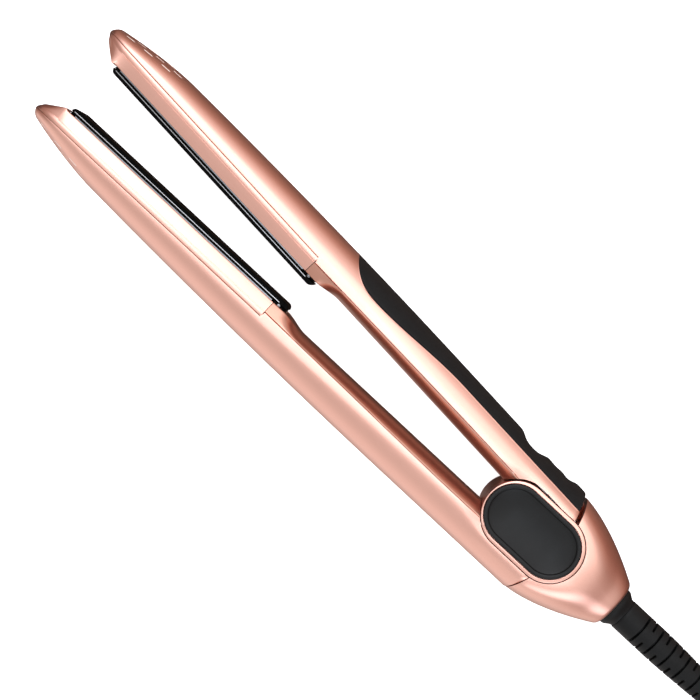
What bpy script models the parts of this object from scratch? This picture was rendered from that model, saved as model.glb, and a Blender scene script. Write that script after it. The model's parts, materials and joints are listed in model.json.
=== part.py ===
"""Hair straightener (flat iron) with two sprung arms, floating heated plates and a swivel cord.

The iron lies on its side, with the arms open. The hinge axis is the Z axis through the origin, +X runs
towards the plate tips and +Y towards the fixed arm. Each arm is modelled in its own frame: x along the
arm, y outward from the plane where the plates meet, and z across, from the arm's middle. The moving arm
is the fixed arm's mirror image, turned open about the hinge. All sizes are in metres.
"""

import math

import bmesh
import bpy
from mathutils import Vector

MM = 0.001

# Whole iron
MID_HEIGHT = 16.5 * MM  # middle of the arms above the surface that the iron lies on
OPEN_ANGLE = math.radians(4.4)
GAP = 0.3 * MM  # between neighbouring pieces

# Arm backs
TIP_X = 247.0 * MM
ARM_HALF_WIDTH = 16.0 * MM
CROWN_HEIGHT = 23.1 * MM
ROUNDNESS = 2.2  # superellipse exponent of the arm's back
BELLY_START_X = 60.0 * MM
BELLY_LENGTH = 133.0 * MM
BELLY_DROP = 2.7 * MM
NOSE_START_X = 212.0 * MM
NOSE_LENGTH = 34.0 * MM
NOSE_DROP = 4.07 * MM
NOSE_POWER = 1.63
TAPER_START_X = 205.0 * MM
TAPER_LENGTH = 44.0 * MM
SHELL_WALL = 1.8 * MM
GRIP_SHELL_WALL = 4.0 * MM  # of the moving arm's handle, whose back holds the grip's bed
HANDLE_EDGE = 9.6 * MM  # height of the shell's edge at the hinge
SEAM_EDGE = 8.2 * MM  # at the handle's front end, towards which it falls evenly
EDGE_FALL_LENGTH = 90.0 * MM
PLATE_EDGE = 10.4 * MM  # and beside the plates
TIP_EDGE = 10.6 * MM
NOSE_CLOSED_X = 245.9 * MM  # the shell's nose is solid from here
END_SLANT = 0.3  # the arms end on a line that leans by this much
FIXED_END_X = -9.0 * MM
MOVING_END_X = -6.4 * MM
END_HEIGHT = 14.0 * MM
ARC_STEPS = 16

# Plate frames and plates
SEAM_X = 130.5 * MM  # plate frame meets handle cover
FRAME_FRONT_X = 236.3 * MM
NOSE_X = 237.0 * MM
FACET_START_HEIGHT = 2.8 * MM
FACET_SLOPE = 0.578
RIM_HEIGHT = 3.4 * MM
STRIP_HEIGHT = 8.2 * MM
SCALLOP_DEPTH = 1.5 * MM
PLATE_REAR_X = 125.0 * MM
PLATE_FRONT_X = 235.0 * MM
PLATE_HALF_WIDTH = 12.2 * MM
PLATE_FACE = 0.45 * MM
POCKET_FLOOR = 9.4 * MM
CLIP_POCKET_FLOOR = 7.1 * MM  # of the pocket's rear end, in the handle cover
POCKET_CLEARANCE = 0.4 * MM  # round a floating plate

# Handle covers
HANDLE_FACE = 5.0 * MM
COVER_WALL = 1.5 * MM
SLOPE_START_X = 114.0 * MM
SLOPE_END_X = 125.5 * MM

# Hinge
HUB_MIDDLE_X = 1.25 * MM
HUB_HALF_STRAIGHT = 8.5 * MM  # from the middle to the centre of each round end
HUB_RADIUS = 13.35 * MM
HUB_HALF_DEPTH = 15.4 * MM
CAP_MIDDLE_X = 1.6 * MM
CAP_HALF_STRAIGHT = 8.95 * MM
CAP_RADIUS = 11.75 * MM
CAP_INNER_Z = 12.9 * MM
PIN_RADIUS = 3.0 * MM
CHAMBER_RADIUS = 11.4 * MM  # space in the hub for the return spring and the moving arm's lug
CHAMBER_HALF_DEPTH = 9.0 * MM
LUG_MOUTH = 8.0 * MM  # half length of the hub's opening for the lug

# Tail and swivel
TAIL_FRONT_X = -9.4 * MM
TAIL_END_X = -41.6 * MM
TAIL_CURVE = 0.0362
TAIL_POWER = 1.636
TAIL_END_HALF_WIDTH = 9.4 * MM
TAIL_WALL = 2.0 * MM
TAIL_FLAT = 0.5 * MM  # half height of the flat strip left on the tail's sides at its end
COLLAR_RADIUS = 8.0 * MM
SLEEVE_RADIUS = 6.4 * MM
RELIEF_END_X = -105.0 * MM
RELIEF_PITCH = 7.1 * MM
RELIEF_GROOVES = 7

# Grip and buttons
GRIP_START_X = 121.8 * MM
GRIP_REAR_X = -6.2 * MM
GRIP_DEPTH = 2.3 * MM
GRIP_PLATEAU = 0.59  # share of the back that the grip covers along the handle
GRIP_SHOULDER = 0.77  # and at its widest, near its front end
BUTTON_RADIUS = 3.4 * MM
BUTTON_PLACES = {
    "power_button": (23.2 * MM, 21.0 * MM),
    "temperature_up_button": (12.6 * MM, 22.7 * MM),
    "temperature_down_button": (4.4 * MM, 22.8 * MM),
}
BUTTON_FOOT = 18.4 * MM

# Cord
CORD_RADIUS = 3.5 * MM
TIE_THICKNESS = 1.0 * MM
HANK_CENTRE = (-255.5 * MM, -4.0 * MM)
HANK_STRAIGHT = 67.0 * MM
HANK_RADIUS = 32.0 * MM  # outer, of its round ends
HANK_HEIGHT = 21.0 * MM
HANK_LOW = TIE_THICKNESS + GAP
LEAD_ROUTE = [
    (-105.3, 0.0, 16.5),
    (-122.0, 0.0, 16.2),
    (-140.0, 1.5, 12.6),
    (-157.0, 6.5, 6.8),
    (-172.0, 14.0, 4.1),
    (-187.0, 21.0, 4.3),
    (-201.7, 24.5, 4.8),
]
END_ROUTE = [
    (-201.7, -32.5, 18.8),
    (-187.0, -32.1, 17.4),
    (-171.0, -29.3, 12.8),
    (-154.0, -25.6, 8.3),
    (-136.8, -24.0, 7.2),
]
PLUG_REAR_X = -136.4 * MM
PLUG_CENTRE_Y = -24.0 * MM
PLUG_LENGTH = 32.0 * MM
PLUG_HEIGHT = 14.4 * MM
BLADE_LENGTH = 16.0 * MM
BLADE_SPACING = 12.7 * MM

COLOURS = {  # base colour, metallic, roughness
    "rose_gold": ((0.80, 0.50, 0.42), 0.7, 0.35),
    "plate_black": ((0.02, 0.02, 0.022), 0.2, 0.12),
    "silver": ((0.78, 0.78, 0.79), 1.0, 0.25),
    "soft_black": ((0.035, 0.035, 0.037), 0.0, 0.6),
    "cord_black": ((0.02, 0.02, 0.021), 0.0, 0.5),
    "steel": ((0.62, 0.63, 0.65), 1.0, 0.3),
    "ceramic_white": ((0.85, 0.84, 0.80), 0.0, 0.4),
    "board_green": ((0.03, 0.20, 0.09), 0.0, 0.45),
    "brass": ((0.80, 0.62, 0.30), 1.0, 0.3),
    "silicone": ((0.75, 0.76, 0.78), 0.0, 0.55),
    "wire_red": ((0.55, 0.05, 0.04), 0.0, 0.5),
}


# ---------------------------------------------------------------- scene and helpers


def clear_scene():
    for obj in list(bpy.data.objects):
        bpy.data.objects.remove(obj)


def new_collection(name):
    collection = bpy.data.collections.new(name)
    bpy.context.scene.collection.children.link(collection)
    return collection


def make_materials():
    for name, (colour, metallic, roughness) in COLOURS.items():
        mat = bpy.data.materials.new(name)
        mat.use_nodes = True
        shader = mat.node_tree.nodes["Principled BSDF"]
        shader.inputs["Base Color"].default_value = (*colour, 1.0)
        shader.inputs["Metallic"].default_value = metallic
        shader.inputs["Roughness"].default_value = roughness


def new_pivot(name, location, angle=0.0):
    pivot = bpy.data.objects.new(name, None)
    pivot.location = location
    pivot.rotation_euler = (0.0, 0.0, angle)
    bpy.data.collections["flat_iron"].objects.link(pivot)
    return pivot


def place(obj, material, parent):
    """Puts a part in the iron's collection with its material, under its pivot."""
    bpy.data.collections["flat_iron"].objects.link(obj)
    obj.data.materials.append(bpy.data.materials[material])
    obj.parent = parent
    return obj


def from_bmesh(name, bm, material, parent):
    bmesh.ops.recalc_face_normals(bm, faces=bm.faces)
    mesh = bpy.data.meshes.new(name)
    bm.to_mesh(mesh)
    bm.free()
    mesh.shade_smooth()
    mesh.set_sharp_from_angle(angle=math.radians(35))
    return place(bpy.data.objects.new(name, mesh), material, parent)


def loft(name, rings, material, parent):
    """A closed body through rings of matching points, with a face on the first and the last."""
    bm = bmesh.new()
    rows = [[bm.verts.new(point) for point in ring] for ring in rings]
    for row, following in zip(rows, rows[1:]):
        for i in range(len(row)):
            j = (i + 1) % len(row)
            bm.faces.new((row[i], row[j], following[j], following[i]))
    bm.faces.new(rows[0])
    bm.faces.new(list(reversed(rows[-1])))
    return from_bmesh(name, bm, material, parent)


def box(name, low, high, material, parent, bevel=0.0):
    """A block given by two opposite corners."""
    bm = bmesh.new()
    corners = bmesh.ops.create_cube(bm, size=1.0)["verts"]
    centre = (Vector(low) + Vector(high)) / 2
    size = [abs(h - w) for w, h in zip(low, high)]
    for vert in corners:
        vert.co = Vector(c * s for c, s in zip(vert.co, size)) + centre
    obj = from_bmesh(name, bm, material, parent)
    if bevel:
        rounding = obj.modifiers.new("rounding", "BEVEL")
        rounding.width = bevel
        rounding.segments = 2
    return obj


def prism(name, outline, low, high, material, parent, bevel=0.0):
    """A flat outline in x and y, extruded from one z to another."""
    bm = bmesh.new()
    face = bm.faces.new([bm.verts.new((x, y, low)) for x, y in outline])
    raised = bmesh.ops.extrude_face_region(bm, geom=[face])["geom"]
    top = [item for item in raised if isinstance(item, bmesh.types.BMVert)]
    bmesh.ops.translate(bm, vec=(0.0, 0.0, high - low), verts=top)
    obj = from_bmesh(name, bm, material, parent)
    if bevel:
        rounding = obj.modifiers.new("rounding", "BEVEL")
        rounding.width = bevel
        rounding.segments = 2
        rounding.limit_method = "ANGLE"
        rounding.angle_limit = math.radians(50)
    return obj


def turned(name, profile, material, parent, location=(0, 0, 0), rotation=(0, 0, 0), steps=24):
    """A profile of (radius, height) points, from the top down its outer side, turned about z."""
    mesh = bpy.data.meshes.new(name)
    points = [(radius, 0.0, height) for radius, height in profile]
    edges = [(i, i + 1) for i in range(len(points) - 1)]
    if profile[0] == profile[-1]:  # a ring's profile, which closes on itself
        points.pop()
        edges[-1] = (len(points) - 1, 0)
    mesh.from_pydata(points, edges, [])
    obj = place(bpy.data.objects.new(name, mesh), material, parent)
    obj.location = location
    obj.rotation_euler = rotation
    screw = obj.modifiers.new("turning", "SCREW")
    screw.steps = steps
    screw.render_steps = steps
    screw.use_merge_vertices = True
    screw.merge_threshold = 0.00001
    return obj


def smooth_route(points, step):
    """Points on a smooth curve through the given ones, about one step apart."""
    knots = [Vector(p) for p in points]
    knots = [2 * knots[0] - knots[1], *knots, 2 * knots[-1] - knots[-2]]
    route = [knots[1]]
    for before, start, end, after in zip(knots, knots[1:], knots[2:], knots[3:]):
        count = max(1, round((end - start).length / step))
        for i in range(1, count + 1):
            t = i / count
            bend = (end - before) * t + (2 * before - 5 * start + 4 * end - after) * t**2
            bend += (3 * start - before - 3 * end + after) * t**3
            route.append(start + bend / 2)
    return route


def tube(name, route, radius, material, parent, resolution=2):
    curve = bpy.data.curves.new(name, "CURVE")
    curve.dimensions = "3D"
    curve.bevel_depth = radius
    curve.bevel_resolution = resolution
    curve.use_fill_caps = True
    spline = curve.splines.new("POLY")
    spline.points.add(len(route) - 1)
    for point, spot in zip(spline.points, route):
        point.co = (*spot, 1.0)
    return place(bpy.data.objects.new(name, curve), material, parent)


def as_cutter(obj):
    """Takes an object out of the model and keeps it, hidden, as a cutting tool."""
    bpy.data.collections["flat_iron"].objects.unlink(obj)
    bpy.data.collections["cutters"].objects.link(obj)
    obj.hide_render = True
    obj.display_type = "WIRE"
    return obj


def cut(obj, *cutters):
    for cutter in cutters:
        boolean = obj.modifiers.new("cut_" + cutter.name, "BOOLEAN")
        boolean.operation = "DIFFERENCE"
        boolean.solver = "EXACT"
        boolean.object = cutter
    return obj


def stadium(radius, half_straight, middle_x=0.0, steps=16):
    """Outline of a bar with round ends along x."""
    outline = []
    for side in (1, -1):
        for i in range(steps + 1):
            angle = math.pi * (i / steps - 0.5) + (0 if side > 0 else math.pi)
            end_x = middle_x + side * half_straight
            outline.append((end_x + radius * math.cos(angle), radius * math.sin(angle)))
    return outline


def hub_outline(radius):
    return stadium(radius, HUB_HALF_STRAIGHT, HUB_MIDDLE_X)


def cap_outline(radius):
    return stadium(radius, CAP_HALF_STRAIGHT, CAP_MIDDLE_X)


def smoothstep(start, end, x):
    t = min(1.0, max(0.0, (x - start) / (end - start)))
    return t * t * (3 - 2 * t)


def mix(a, b, share):
    return a + (b - a) * share


# ---------------------------------------------------------------- arm form


def crown(x):
    """Height of the arm's back at a distance x from the hinge."""
    belly = max(0.0, (x - BELLY_START_X) / BELLY_LENGTH)
    nose = max(0.0, (x - NOSE_START_X) / NOSE_LENGTH)
    return CROWN_HEIGHT - BELLY_DROP * belly**2 - NOSE_DROP * nose**NOSE_POWER


def half_width(x):
    taper = max(0.0, (x - TAPER_START_X) / TAPER_LENGTH)
    return ARM_HALF_WIDTH * math.sqrt(1.0 - taper**5)


def edge_height(x):
    """Height of the shell's edge, where the plate frame or the handle cover meets it."""
    if x < SEAM_X:
        return mix(SEAM_EDGE, HANDLE_EDGE, min(1.0, (SEAM_X - x) / EDGE_FALL_LENGTH))
    return mix(PLATE_EDGE, TIP_EDGE, max(0.0, (x - NOSE_X) / (TIP_X - NOSE_X)))


def on_back(x, share, depth=0.0):
    """(y, z) on the arm's back: share is -1 at one edge, 0 on the crown and 1 at the other edge."""
    edge = edge_height(x)
    angle = share * math.pi / 2
    rise = math.cos(angle) ** (2 / ROUNDNESS)
    across = abs(math.sin(angle)) ** (2 / ROUNDNESS)
    y = edge + (crown(x) - depth - edge) * rise
    z = math.copysign((half_width(x) - depth) * across, share)
    return y, z


def back_arc(x, depth, side, slant=0.0, reach=1.0, steps=ARC_STEPS):
    """Points over the arm's back, from its +z edge to its -z edge."""
    points = []
    for i in range(steps + 1):
        y, z = on_back(x, reach * (1 - 2 * i / steps), depth)
        points.append((x + slant * (y - END_HEIGHT), side * y, z))
    return points


def shell_rings(end_x, side, handle_wall):
    """Sections of the arm's back cover, hollow up to the tip."""
    rings = []
    stations = [6, 22, 45, 70, 100, 130.2, 130.8, 155, 180, 200, 212, 220, 227, 232, 236, 239, 242, 244.5]
    places = [(end_x, END_SLANT)] + [(x * MM, 0.0) for x in stations]
    places += [(NOSE_CLOSED_X, 0.0), (TIP_X, 0.0)]
    for x, slant in places:
        wall = handle_wall if x < SEAM_X else SHELL_WALL
        if x >= NOSE_CLOSED_X:
            wall = crown(x) - edge_height(x) - 0.05 * MM
        outer = back_arc(x, 0.0, side, slant)
        inner = back_arc(x, wall, side, slant)
        rings.append(outer + inner[::-1])
    return rings


def scallop_profile(x, start, low, depth):
    """(y, z) down the hollow side between two heights, leaning inwards to the rim beside the plate."""
    points = []
    count = 6
    for i in range(count + 1):
        t = i / count
        inset = 0.4 * MM + 1.6 * MM * t + depth * math.sin(math.pi * t)
        points.append((mix(start, low, t), half_width(x) - inset))
    return points


def rail_profile(x):
    """(y, z) down the side of the plate frame: light strip, then the scallop or the nose's side."""
    top = edge_height(x) - GAP
    nose = max(0.0, (x - NOSE_X) / (TIP_X - NOSE_X))
    strip = mix(STRIP_HEIGHT, top - 0.6 * MM, nose)
    low = RIM_HEIGHT if x < NOSE_X else FACET_START_HEIGHT + FACET_SLOPE * (x - NOSE_X)
    depth = SCALLOP_DEPTH * (1.0 - smoothstep(230.5 * MM, FRAME_FRONT_X, x))
    points = [(top, half_width(x)), (strip + GAP, half_width(x) - 0.15 * MM)]
    return points + scallop_profile(x, strip, low, depth)


def handle_profile(x):
    """(y, z) down the rounded side of the handle cover, to its flat inner face."""
    width = half_width(x)
    top = edge_height(x) - GAP
    points = []
    count = 8
    for i in range(count + 1):
        angle = math.pi / 2 * i / count
        z = width - 5.6 * MM + 5.5 * MM * math.cos(angle)
        points.append((mix(top, HANDLE_FACE, math.sin(angle)), z))
    return points


def cover_profile(x):
    """The handle cover's side, which grows into the plate frame's scallop towards the seam."""
    share = smoothstep(SLOPE_START_X, SLOPE_END_X, x)
    top, width = edge_height(x) - GAP, half_width(x)
    rail = [(top, width - 0.1 * MM), (top - 0.1 * MM, width - 0.25 * MM)]
    rail += scallop_profile(x, top - 0.2 * MM, RIM_HEIGHT, SCALLOP_DEPTH)
    pairs = zip(handle_profile(x), rail)
    return [(mix(a[0], b[0], share), mix(a[1], b[1], share)) for a, b in pairs]


def closed_ring(x, outer, inner, side):
    """A ring through an outer half profile, its mirror image, and the inner ones."""
    ring = [(x, side * y, z) for y, z in outer]
    ring += [(x, side * y, -z) for y, z in reversed(outer)]
    ring += [(x, side * y, -z) for y, z in inner]
    ring += [(x, side * y, z) for y, z in reversed(inner)]
    return ring


def cover_rings(side):
    rings = []
    for x in (17, 40, 70, 100, 114, 117, 117.6, 120.5, 123.5, 125.5, 130.2):
        outer = cover_profile(x * MM)
        top = edge_height(x * MM) - GAP
        if x < 117.5:
            inner = [(min(y + COVER_WALL, top), z - COVER_WALL) for y, z in outer]
        else:
            first, last = outer[0][1] - COVER_WALL, outer[-1][1] - COVER_WALL
            steps = len(outer) - 1
            inner = [(top - 0.2 * MM, mix(first, last, i / steps)) for i in range(steps + 1)]
        rings.append(closed_ring(x * MM, outer, inner, side))
    return rings


def frame_rings(side):
    rings = []
    stations = [x * MM for x in (130.8, 150, 180, 205, 218, 226, 230.5, 233.5)]
    stations += [FRAME_FRONT_X, NOSE_X] + [x * MM for x in (239.5, 242, 244.2, 245.9)] + [TIP_X]
    for x in stations:
        profile = rail_profile(x)
        ring = [(x, side * y, z) for y, z in profile]
        ring += [(x, side * y, -z) for y, z in reversed(profile)]
        rings.append(ring)
    return rings


# ---------------------------------------------------------------- cutters


def hub_cutter(name, radius, parent, angle=0.0):
    cutter = prism(name, hub_outline(radius), -30 * MM, 30 * MM, "steel", parent)
    cutter.rotation_euler = (0.0, 0.0, angle)
    return as_cutter(cutter)


def pocket_cutter(name, parent, side, floor):
    low = (PLATE_REAR_X - POCKET_CLEARANCE, -1.0 * MM * side, -PLATE_HALF_WIDTH - POCKET_CLEARANCE)
    high = (PLATE_FRONT_X + POCKET_CLEARANCE, side * floor, PLATE_HALF_WIDTH + POCKET_CLEARANCE)
    return as_cutter(box(name, low, high, "steel", parent))


# ---------------------------------------------------------------- arms


def plate_assembly(prefix, parent, side):
    """The parts that float together under spring load: plate, base, heater, carrier and sensor."""

    def slab(name, x0, x1, y0, y1, half, material, bevel=0.0):
        low, high = (x0, side * y0, -half), (x1, side * y1, half)
        return box(prefix + name, low, high, material, parent, bevel)

    rear, front, half = PLATE_REAR_X, PLATE_FRONT_X, PLATE_HALF_WIDTH
    slab("_heating_plate", rear, front, PLATE_FACE, 2.2 * MM, half, "plate_black", 0.6 * MM)
    slab("_plate_base", rear + 6.4 * MM, front - 3 * MM, 2.5 * MM, 4.4 * MM, half, "silver")
    slab("_rear_clip", rear + 0.4 * MM, rear + 6.0 * MM, 2.5 * MM, 6.0 * MM, half, "plate_black")
    slab("_front_clip", front - 2.6 * MM, front - 0.3 * MM, 2.5 * MM, 6.0 * MM, half, "silver")
    slab("_heater", rear + 15 * MM, front - 15 * MM, 4.7 * MM, 5.9 * MM, 7 * MM, "ceramic_white")
    slab("_plate_carrier", rear + 7 * MM, front - 4 * MM, 6.3 * MM, 7.4 * MM, 11 * MM, "soft_black")
    slab("_temperature_sensor", rear + 9 * MM, rear + 13 * MM, 4.7 * MM, 6.0 * MM, 2 * MM, "brass")


def float_pad(prefix, parent, side):
    """Silicone pad on the pocket's floor, which the plate carrier bottoms on."""
    low = (145 * MM, side * (POCKET_FLOOR - GAP), -9 * MM)
    high = (215 * MM, side * (POCKET_FLOOR - 0.9 * MM), 9 * MM)
    box(prefix + "_float_pad", low, high, "silicone", parent)


def heater_leads(prefix, parent, side, start_x):
    """The two wires to the heater, from the board or the hinge to below the plate frame."""
    middle_x = (start_x + 138) / 2
    for name, z in (("live", -3), ("return", 3)):
        points = [(start_x, 13.4, z), (middle_x, 14.0, z * 1.2), (138, 13.2, z * 1.6)]
        route = [Vector((x, side * y, across)) * MM for x, y, across in points]
        lead = smooth_route(route, 14 * MM)
        tube(prefix + "_heater_lead_" + name, lead, 0.7 * MM, "wire_red", parent, resolution=1)


def build_arm(prefix, parent, side, end_x, handle_wall):
    """Shell, plate frame, handle cover, plate and inner parts of one arm."""
    pocket = pocket_cutter(prefix + "_pocket", parent, side, POCKET_FLOOR)
    clip_pocket = pocket_cutter(prefix + "_clip_pocket", parent, side, CLIP_POCKET_FLOOR)
    hub_low = hub_cutter(prefix + "_hub_space", HUB_RADIUS + GAP, parent)
    rings = shell_rings(end_x, side, handle_wall)
    shell = loft(prefix + "_arm_shell", rings, "rose_gold", parent)
    cover = loft(prefix + "_handle_cover", cover_rings(side), "rose_gold", parent)
    frame = loft(prefix + "_plate_frame", frame_rings(side), "rose_gold", parent)
    cut(shell, hub_low)
    cut(cover, hub_low, clip_pocket)
    cut(frame, pocket)
    float_pad(prefix, parent, side)
    return shell, cover


# ---------------------------------------------------------------- grip and buttons


def grip_reach(x):
    """Share of the back, from crown to edge, that the grip covers at x: a blunt, flared front end."""
    widest_x = 104 * MM
    if x > widest_x:
        t = min(1.0, (x - widest_x) / (GRIP_START_X - widest_x))
        return GRIP_SHOULDER * (1.0 - t**2.4) ** (1 / 1.9)
    return mix(GRIP_SHOULDER, GRIP_PLATEAU, smoothstep(widest_x, 58 * MM, x))


def thumb_dip(x):
    """Depth of the thumb rest in the grip at x, less than nothing where its rear lip stands proud."""
    dip = 1.8 * MM * math.exp(-(((x - 23.2 * MM) / (4.6 * MM)) ** 2))
    lip = 1.2 * MM * smoothstep(6.0 * MM, -1.0 * MM, x)
    return dip - lip


def grip_section(x, side, slant, reach, inner_depth, outer_depth):
    steps = 10
    outer = []
    for i in range(steps + 1):
        share = 1 - 2 * i / steps
        y, z = on_back(x, reach * share, outer_depth * (1 - share**2))
        outer.append((x + slant * (y - END_HEIGHT), side * y, z))
    inner = back_arc(x, inner_depth, side, slant, reach, steps)
    return outer + inner[::-1]


def grip_rings(side):
    rings = []
    stations = [GRIP_REAR_X / MM, -2, 1, 5, 10, 15, 18, 20.5, 23.2, 26, 28.5, 32, 45, 60, 80, 95, 104, 110]
    stations += [114.5, 117.5, 119.6, 121.0, 121.6]
    for x in stations:
        slant = END_SLANT if x == stations[0] else 0.0
        x *= MM
        rings.append(grip_section(x, side, slant, grip_reach(x), GRIP_DEPTH, thumb_dip(x)))
    return rings


def grip_space_rings(side):
    """The grip's bed in the shell, a gap wider and deeper than the grip and open to the outside."""
    rings = []
    stations = [-30, 20, 45, 60, 80, 95, 104, 110, 114.5, 117.5, 119.8, 121.3, 122.1]
    for x in stations:
        near = min(max(x * MM, GRIP_REAR_X), GRIP_START_X - 0.1 * MM)
        reach = grip_reach(near) + 0.022
        rings.append(grip_section(x * MM, side, 0.0, reach, GRIP_DEPTH + GAP, -4 * MM))
    return rings


def build_grip(parent, side, shell):
    grip = loft("soft_grip", grip_rings(side), "soft_black", parent)
    bed = as_cutter(loft("grip_space", grip_space_rings(side), "steel", parent))
    cut(shell, bed)
    quarter = math.pi / 2
    for name, (x, top) in BUTTON_PLACES.items():
        height = top - BUTTON_FOOT
        profile = [(0.0, height), (1.8 * MM, height - 0.05 * MM)]
        profile += [(BUTTON_RADIUS - 0.6 * MM, height - 0.25 * MM), (BUTTON_RADIUS, height - 0.7 * MM)]
        profile += [(BUTTON_RADIUS, 0.0), (0.0, 0.0)]
        spot = (x, side * BUTTON_FOOT, 0.0)
        turned(name, profile, "soft_black", parent, spot, (side * -quarter, 0, 0), steps=18)
        high, low = 6 * MM, -4 * MM
        well = [(0.0, high), (BUTTON_RADIUS + GAP, high), (BUTTON_RADIUS + GAP, low), (0.0, low)]
        hole = turned(name + "_well", well, "steel", parent, spot, (side * -quarter, 0, 0), steps=18)
        as_cutter(hole)
        cut(shell, hole)
        cut(grip, hole)
    low, high = (0.0, side * 17.0 * MM, -4.6 * MM), (27.5 * MM, side * 17.8 * MM, 4.6 * MM)
    box("button_board", low, high, "board_green", parent)


# ---------------------------------------------------------------- hinge and tail


def build_hinge(parent, moving):
    """Hollow hub with cheeks for the pin, pin, return spring, outer caps, and the moving arm's lug."""
    half = HUB_HALF_DEPTH
    hub = prism("hinge_hub", hub_outline(HUB_RADIUS), -half, half, "rose_gold", parent)
    cap_space = cap_outline(CAP_RADIUS + GAP)
    for name, low, high in (("low", -20, -11.4), ("high", 11.4, 20)):
        recess = prism("cap_recess_" + name, cap_space, low * MM, high * MM, "steel", parent)
        cut(hub, as_cutter(recess))
    half = CHAMBER_HALF_DEPTH
    chamber = prism("spring_chamber", hub_outline(CHAMBER_RADIUS), -half, half, "steel", parent)
    mouth = [(-LUG_MOUTH, 0.0), (LUG_MOUTH, 0.0), (LUG_MOUTH, -20 * MM), (-LUG_MOUTH, -20 * MM)]
    opening = prism("lug_opening", mouth, -half, half, "steel", parent)
    radius, far = PIN_RADIUS + GAP, 14 * MM
    bore = [(0.0, far), (radius, far), (radius, -far), (0.0, -far)]
    pin_bore = turned("pin_bore", bore, "steel", parent, steps=20)
    cut(hub, as_cutter(chamber), as_cutter(opening), as_cutter(pin_bore))

    head, grip, end = 4.6 * MM, 11.7 * MM, 12.5 * MM
    pin = [(0.0, end), (head, end), (head, grip), (PIN_RADIUS, grip)]
    pin += [(radius, -height) for radius, height in reversed(pin)]
    turned("hinge_pin", pin, "steel", parent, steps=20)

    turns, steps = 4.5, 12
    coil = []
    for i in range(int(turns * steps) + 1):
        angle = 2 * math.pi * i / steps
        height = 2.2 * MM + 1.35 * MM * i / steps
        coil.append((5.2 * MM * math.cos(angle), 5.2 * MM * math.sin(angle), height))
    tube("return_spring", coil, 0.5 * MM, "steel", parent, resolution=1)

    for name, side in (("upper", 1), ("lower", -1)):
        low, high = sorted((side * CAP_INNER_Z, side * MID_HEIGHT))
        prism(name + "_hinge_cap", cap_outline(CAP_RADIUS), low, high, "soft_black", parent, 0.5 * MM)

    lug = lug_outline()
    arm_lug = prism("hinge_lug", lug, -8.5 * MM, 0.9 * MM, "steel", moving)
    lug_bore = turned("lug_bore", bore, "steel", moving, steps=20)
    cut(arm_lug, as_cutter(lug_bore))


def lug_outline():
    """The moving arm's knuckle: an eye round the pin, a neck, and a foot inside the arm's shell."""
    eye = 7.0 * MM
    outline = []
    for i in range(13):
        angle = math.radians(-50) + math.radians(280) * i / 12
        outline.append((eye * math.cos(angle), eye * math.sin(angle)))
    foot = [(-5, -14.6), (-3, -16.2), (16, -16.2), (16, -14.6), (5, -14.6)]
    return outline + [(x * MM, y * MM) for x, y in foot]


def tail_half_height(x):
    run = max(0.0, (TAIL_FRONT_X + 4.4 * MM - x) / MM)
    return (22.9 - TAIL_CURVE * run**TAIL_POWER) * MM


def tail_section(x, inset, steps=12):
    """Ring round the tail: the two arms' backs together at its front, an oval at its rear."""
    share = (TAIL_FRONT_X - x) / (TAIL_FRONT_X - TAIL_END_X)
    share = min(1.0, max(0.0, share))
    edge = mix(HANDLE_EDGE, TAIL_FLAT, 1 - (1 - share) ** 1.5)
    width = mix(ARM_HALF_WIDTH, TAIL_END_HALF_WIDTH, share**1.6) - inset
    height = tail_half_height(x) - inset
    ring = []
    for side in (1, -1):
        for i in range(steps + 1):
            angle = math.pi * i / steps
            rise = abs(math.sin(angle)) ** (2 / ROUNDNESS)
            across = abs(math.cos(angle)) ** (2 / ROUNDNESS)
            y = side * (edge + (height - edge) * rise)
            z = side * math.copysign(width * across, math.cos(angle))
            ring.append((x, y, z))
    return ring


def tail_front_space(parent):
    """Space in front of the tail: round the hub, then along the seams that lean like the arms' ends."""
    radius, far = HUB_RADIUS + GAP, 30 * MM
    centre_x = HUB_MIDDLE_X - HUB_HALF_STRAIGHT
    start = math.acos((TAIL_FRONT_X - centre_x) / radius)
    outline = []
    for i in range(17):
        angle = mix(start, 2 * math.pi - start, i / 16)
        outline.append((centre_x + radius * math.cos(angle), radius * math.sin(angle)))
    seam_x = TAIL_FRONT_X + END_SLANT * (far - END_HEIGHT)
    outline += [(seam_x, -far), (far, -far), (far, far), (seam_x, far)]
    return as_cutter(prism("tail_front_space", outline, -far, far, "steel", parent))


def build_tail(parent):
    """The tail's housing, closed at its rear and open at the hub."""
    outer = [tail_section(x * MM, 0.0) for x in (-40.6, -38, -34, -29, -24, -19, -14, -9, 2)]
    outer.insert(0, tail_section(TAIL_END_X, 0.8 * MM))
    inner = [tail_section(x * MM, TAIL_WALL) for x in (2, -9, -14, -19, -24, -29, -34, -38.6)]
    tail = loft("tail_housing", outer + inner, "rose_gold", parent)
    mouth = [(0.0, 10 * MM), (COLLAR_RADIUS + GAP, 10 * MM)]
    mouth += [(COLLAR_RADIUS + GAP, -10 * MM), (0.0, -10 * MM)]
    quarter = math.pi / 2
    spot = (TAIL_END_X, 0.0, 0.0)
    opening = as_cutter(turned("cord_mouth", mouth, "steel", parent, spot, (0, -quarter, 0), 28))
    cut(tail, tail_front_space(parent), opening)
    low, high = (-27 * MM, -6 * MM, -6 * MM), (-24.5 * MM, 6 * MM, 6 * MM)
    box("contact_block", low, high, "ceramic_white", parent)


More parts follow.
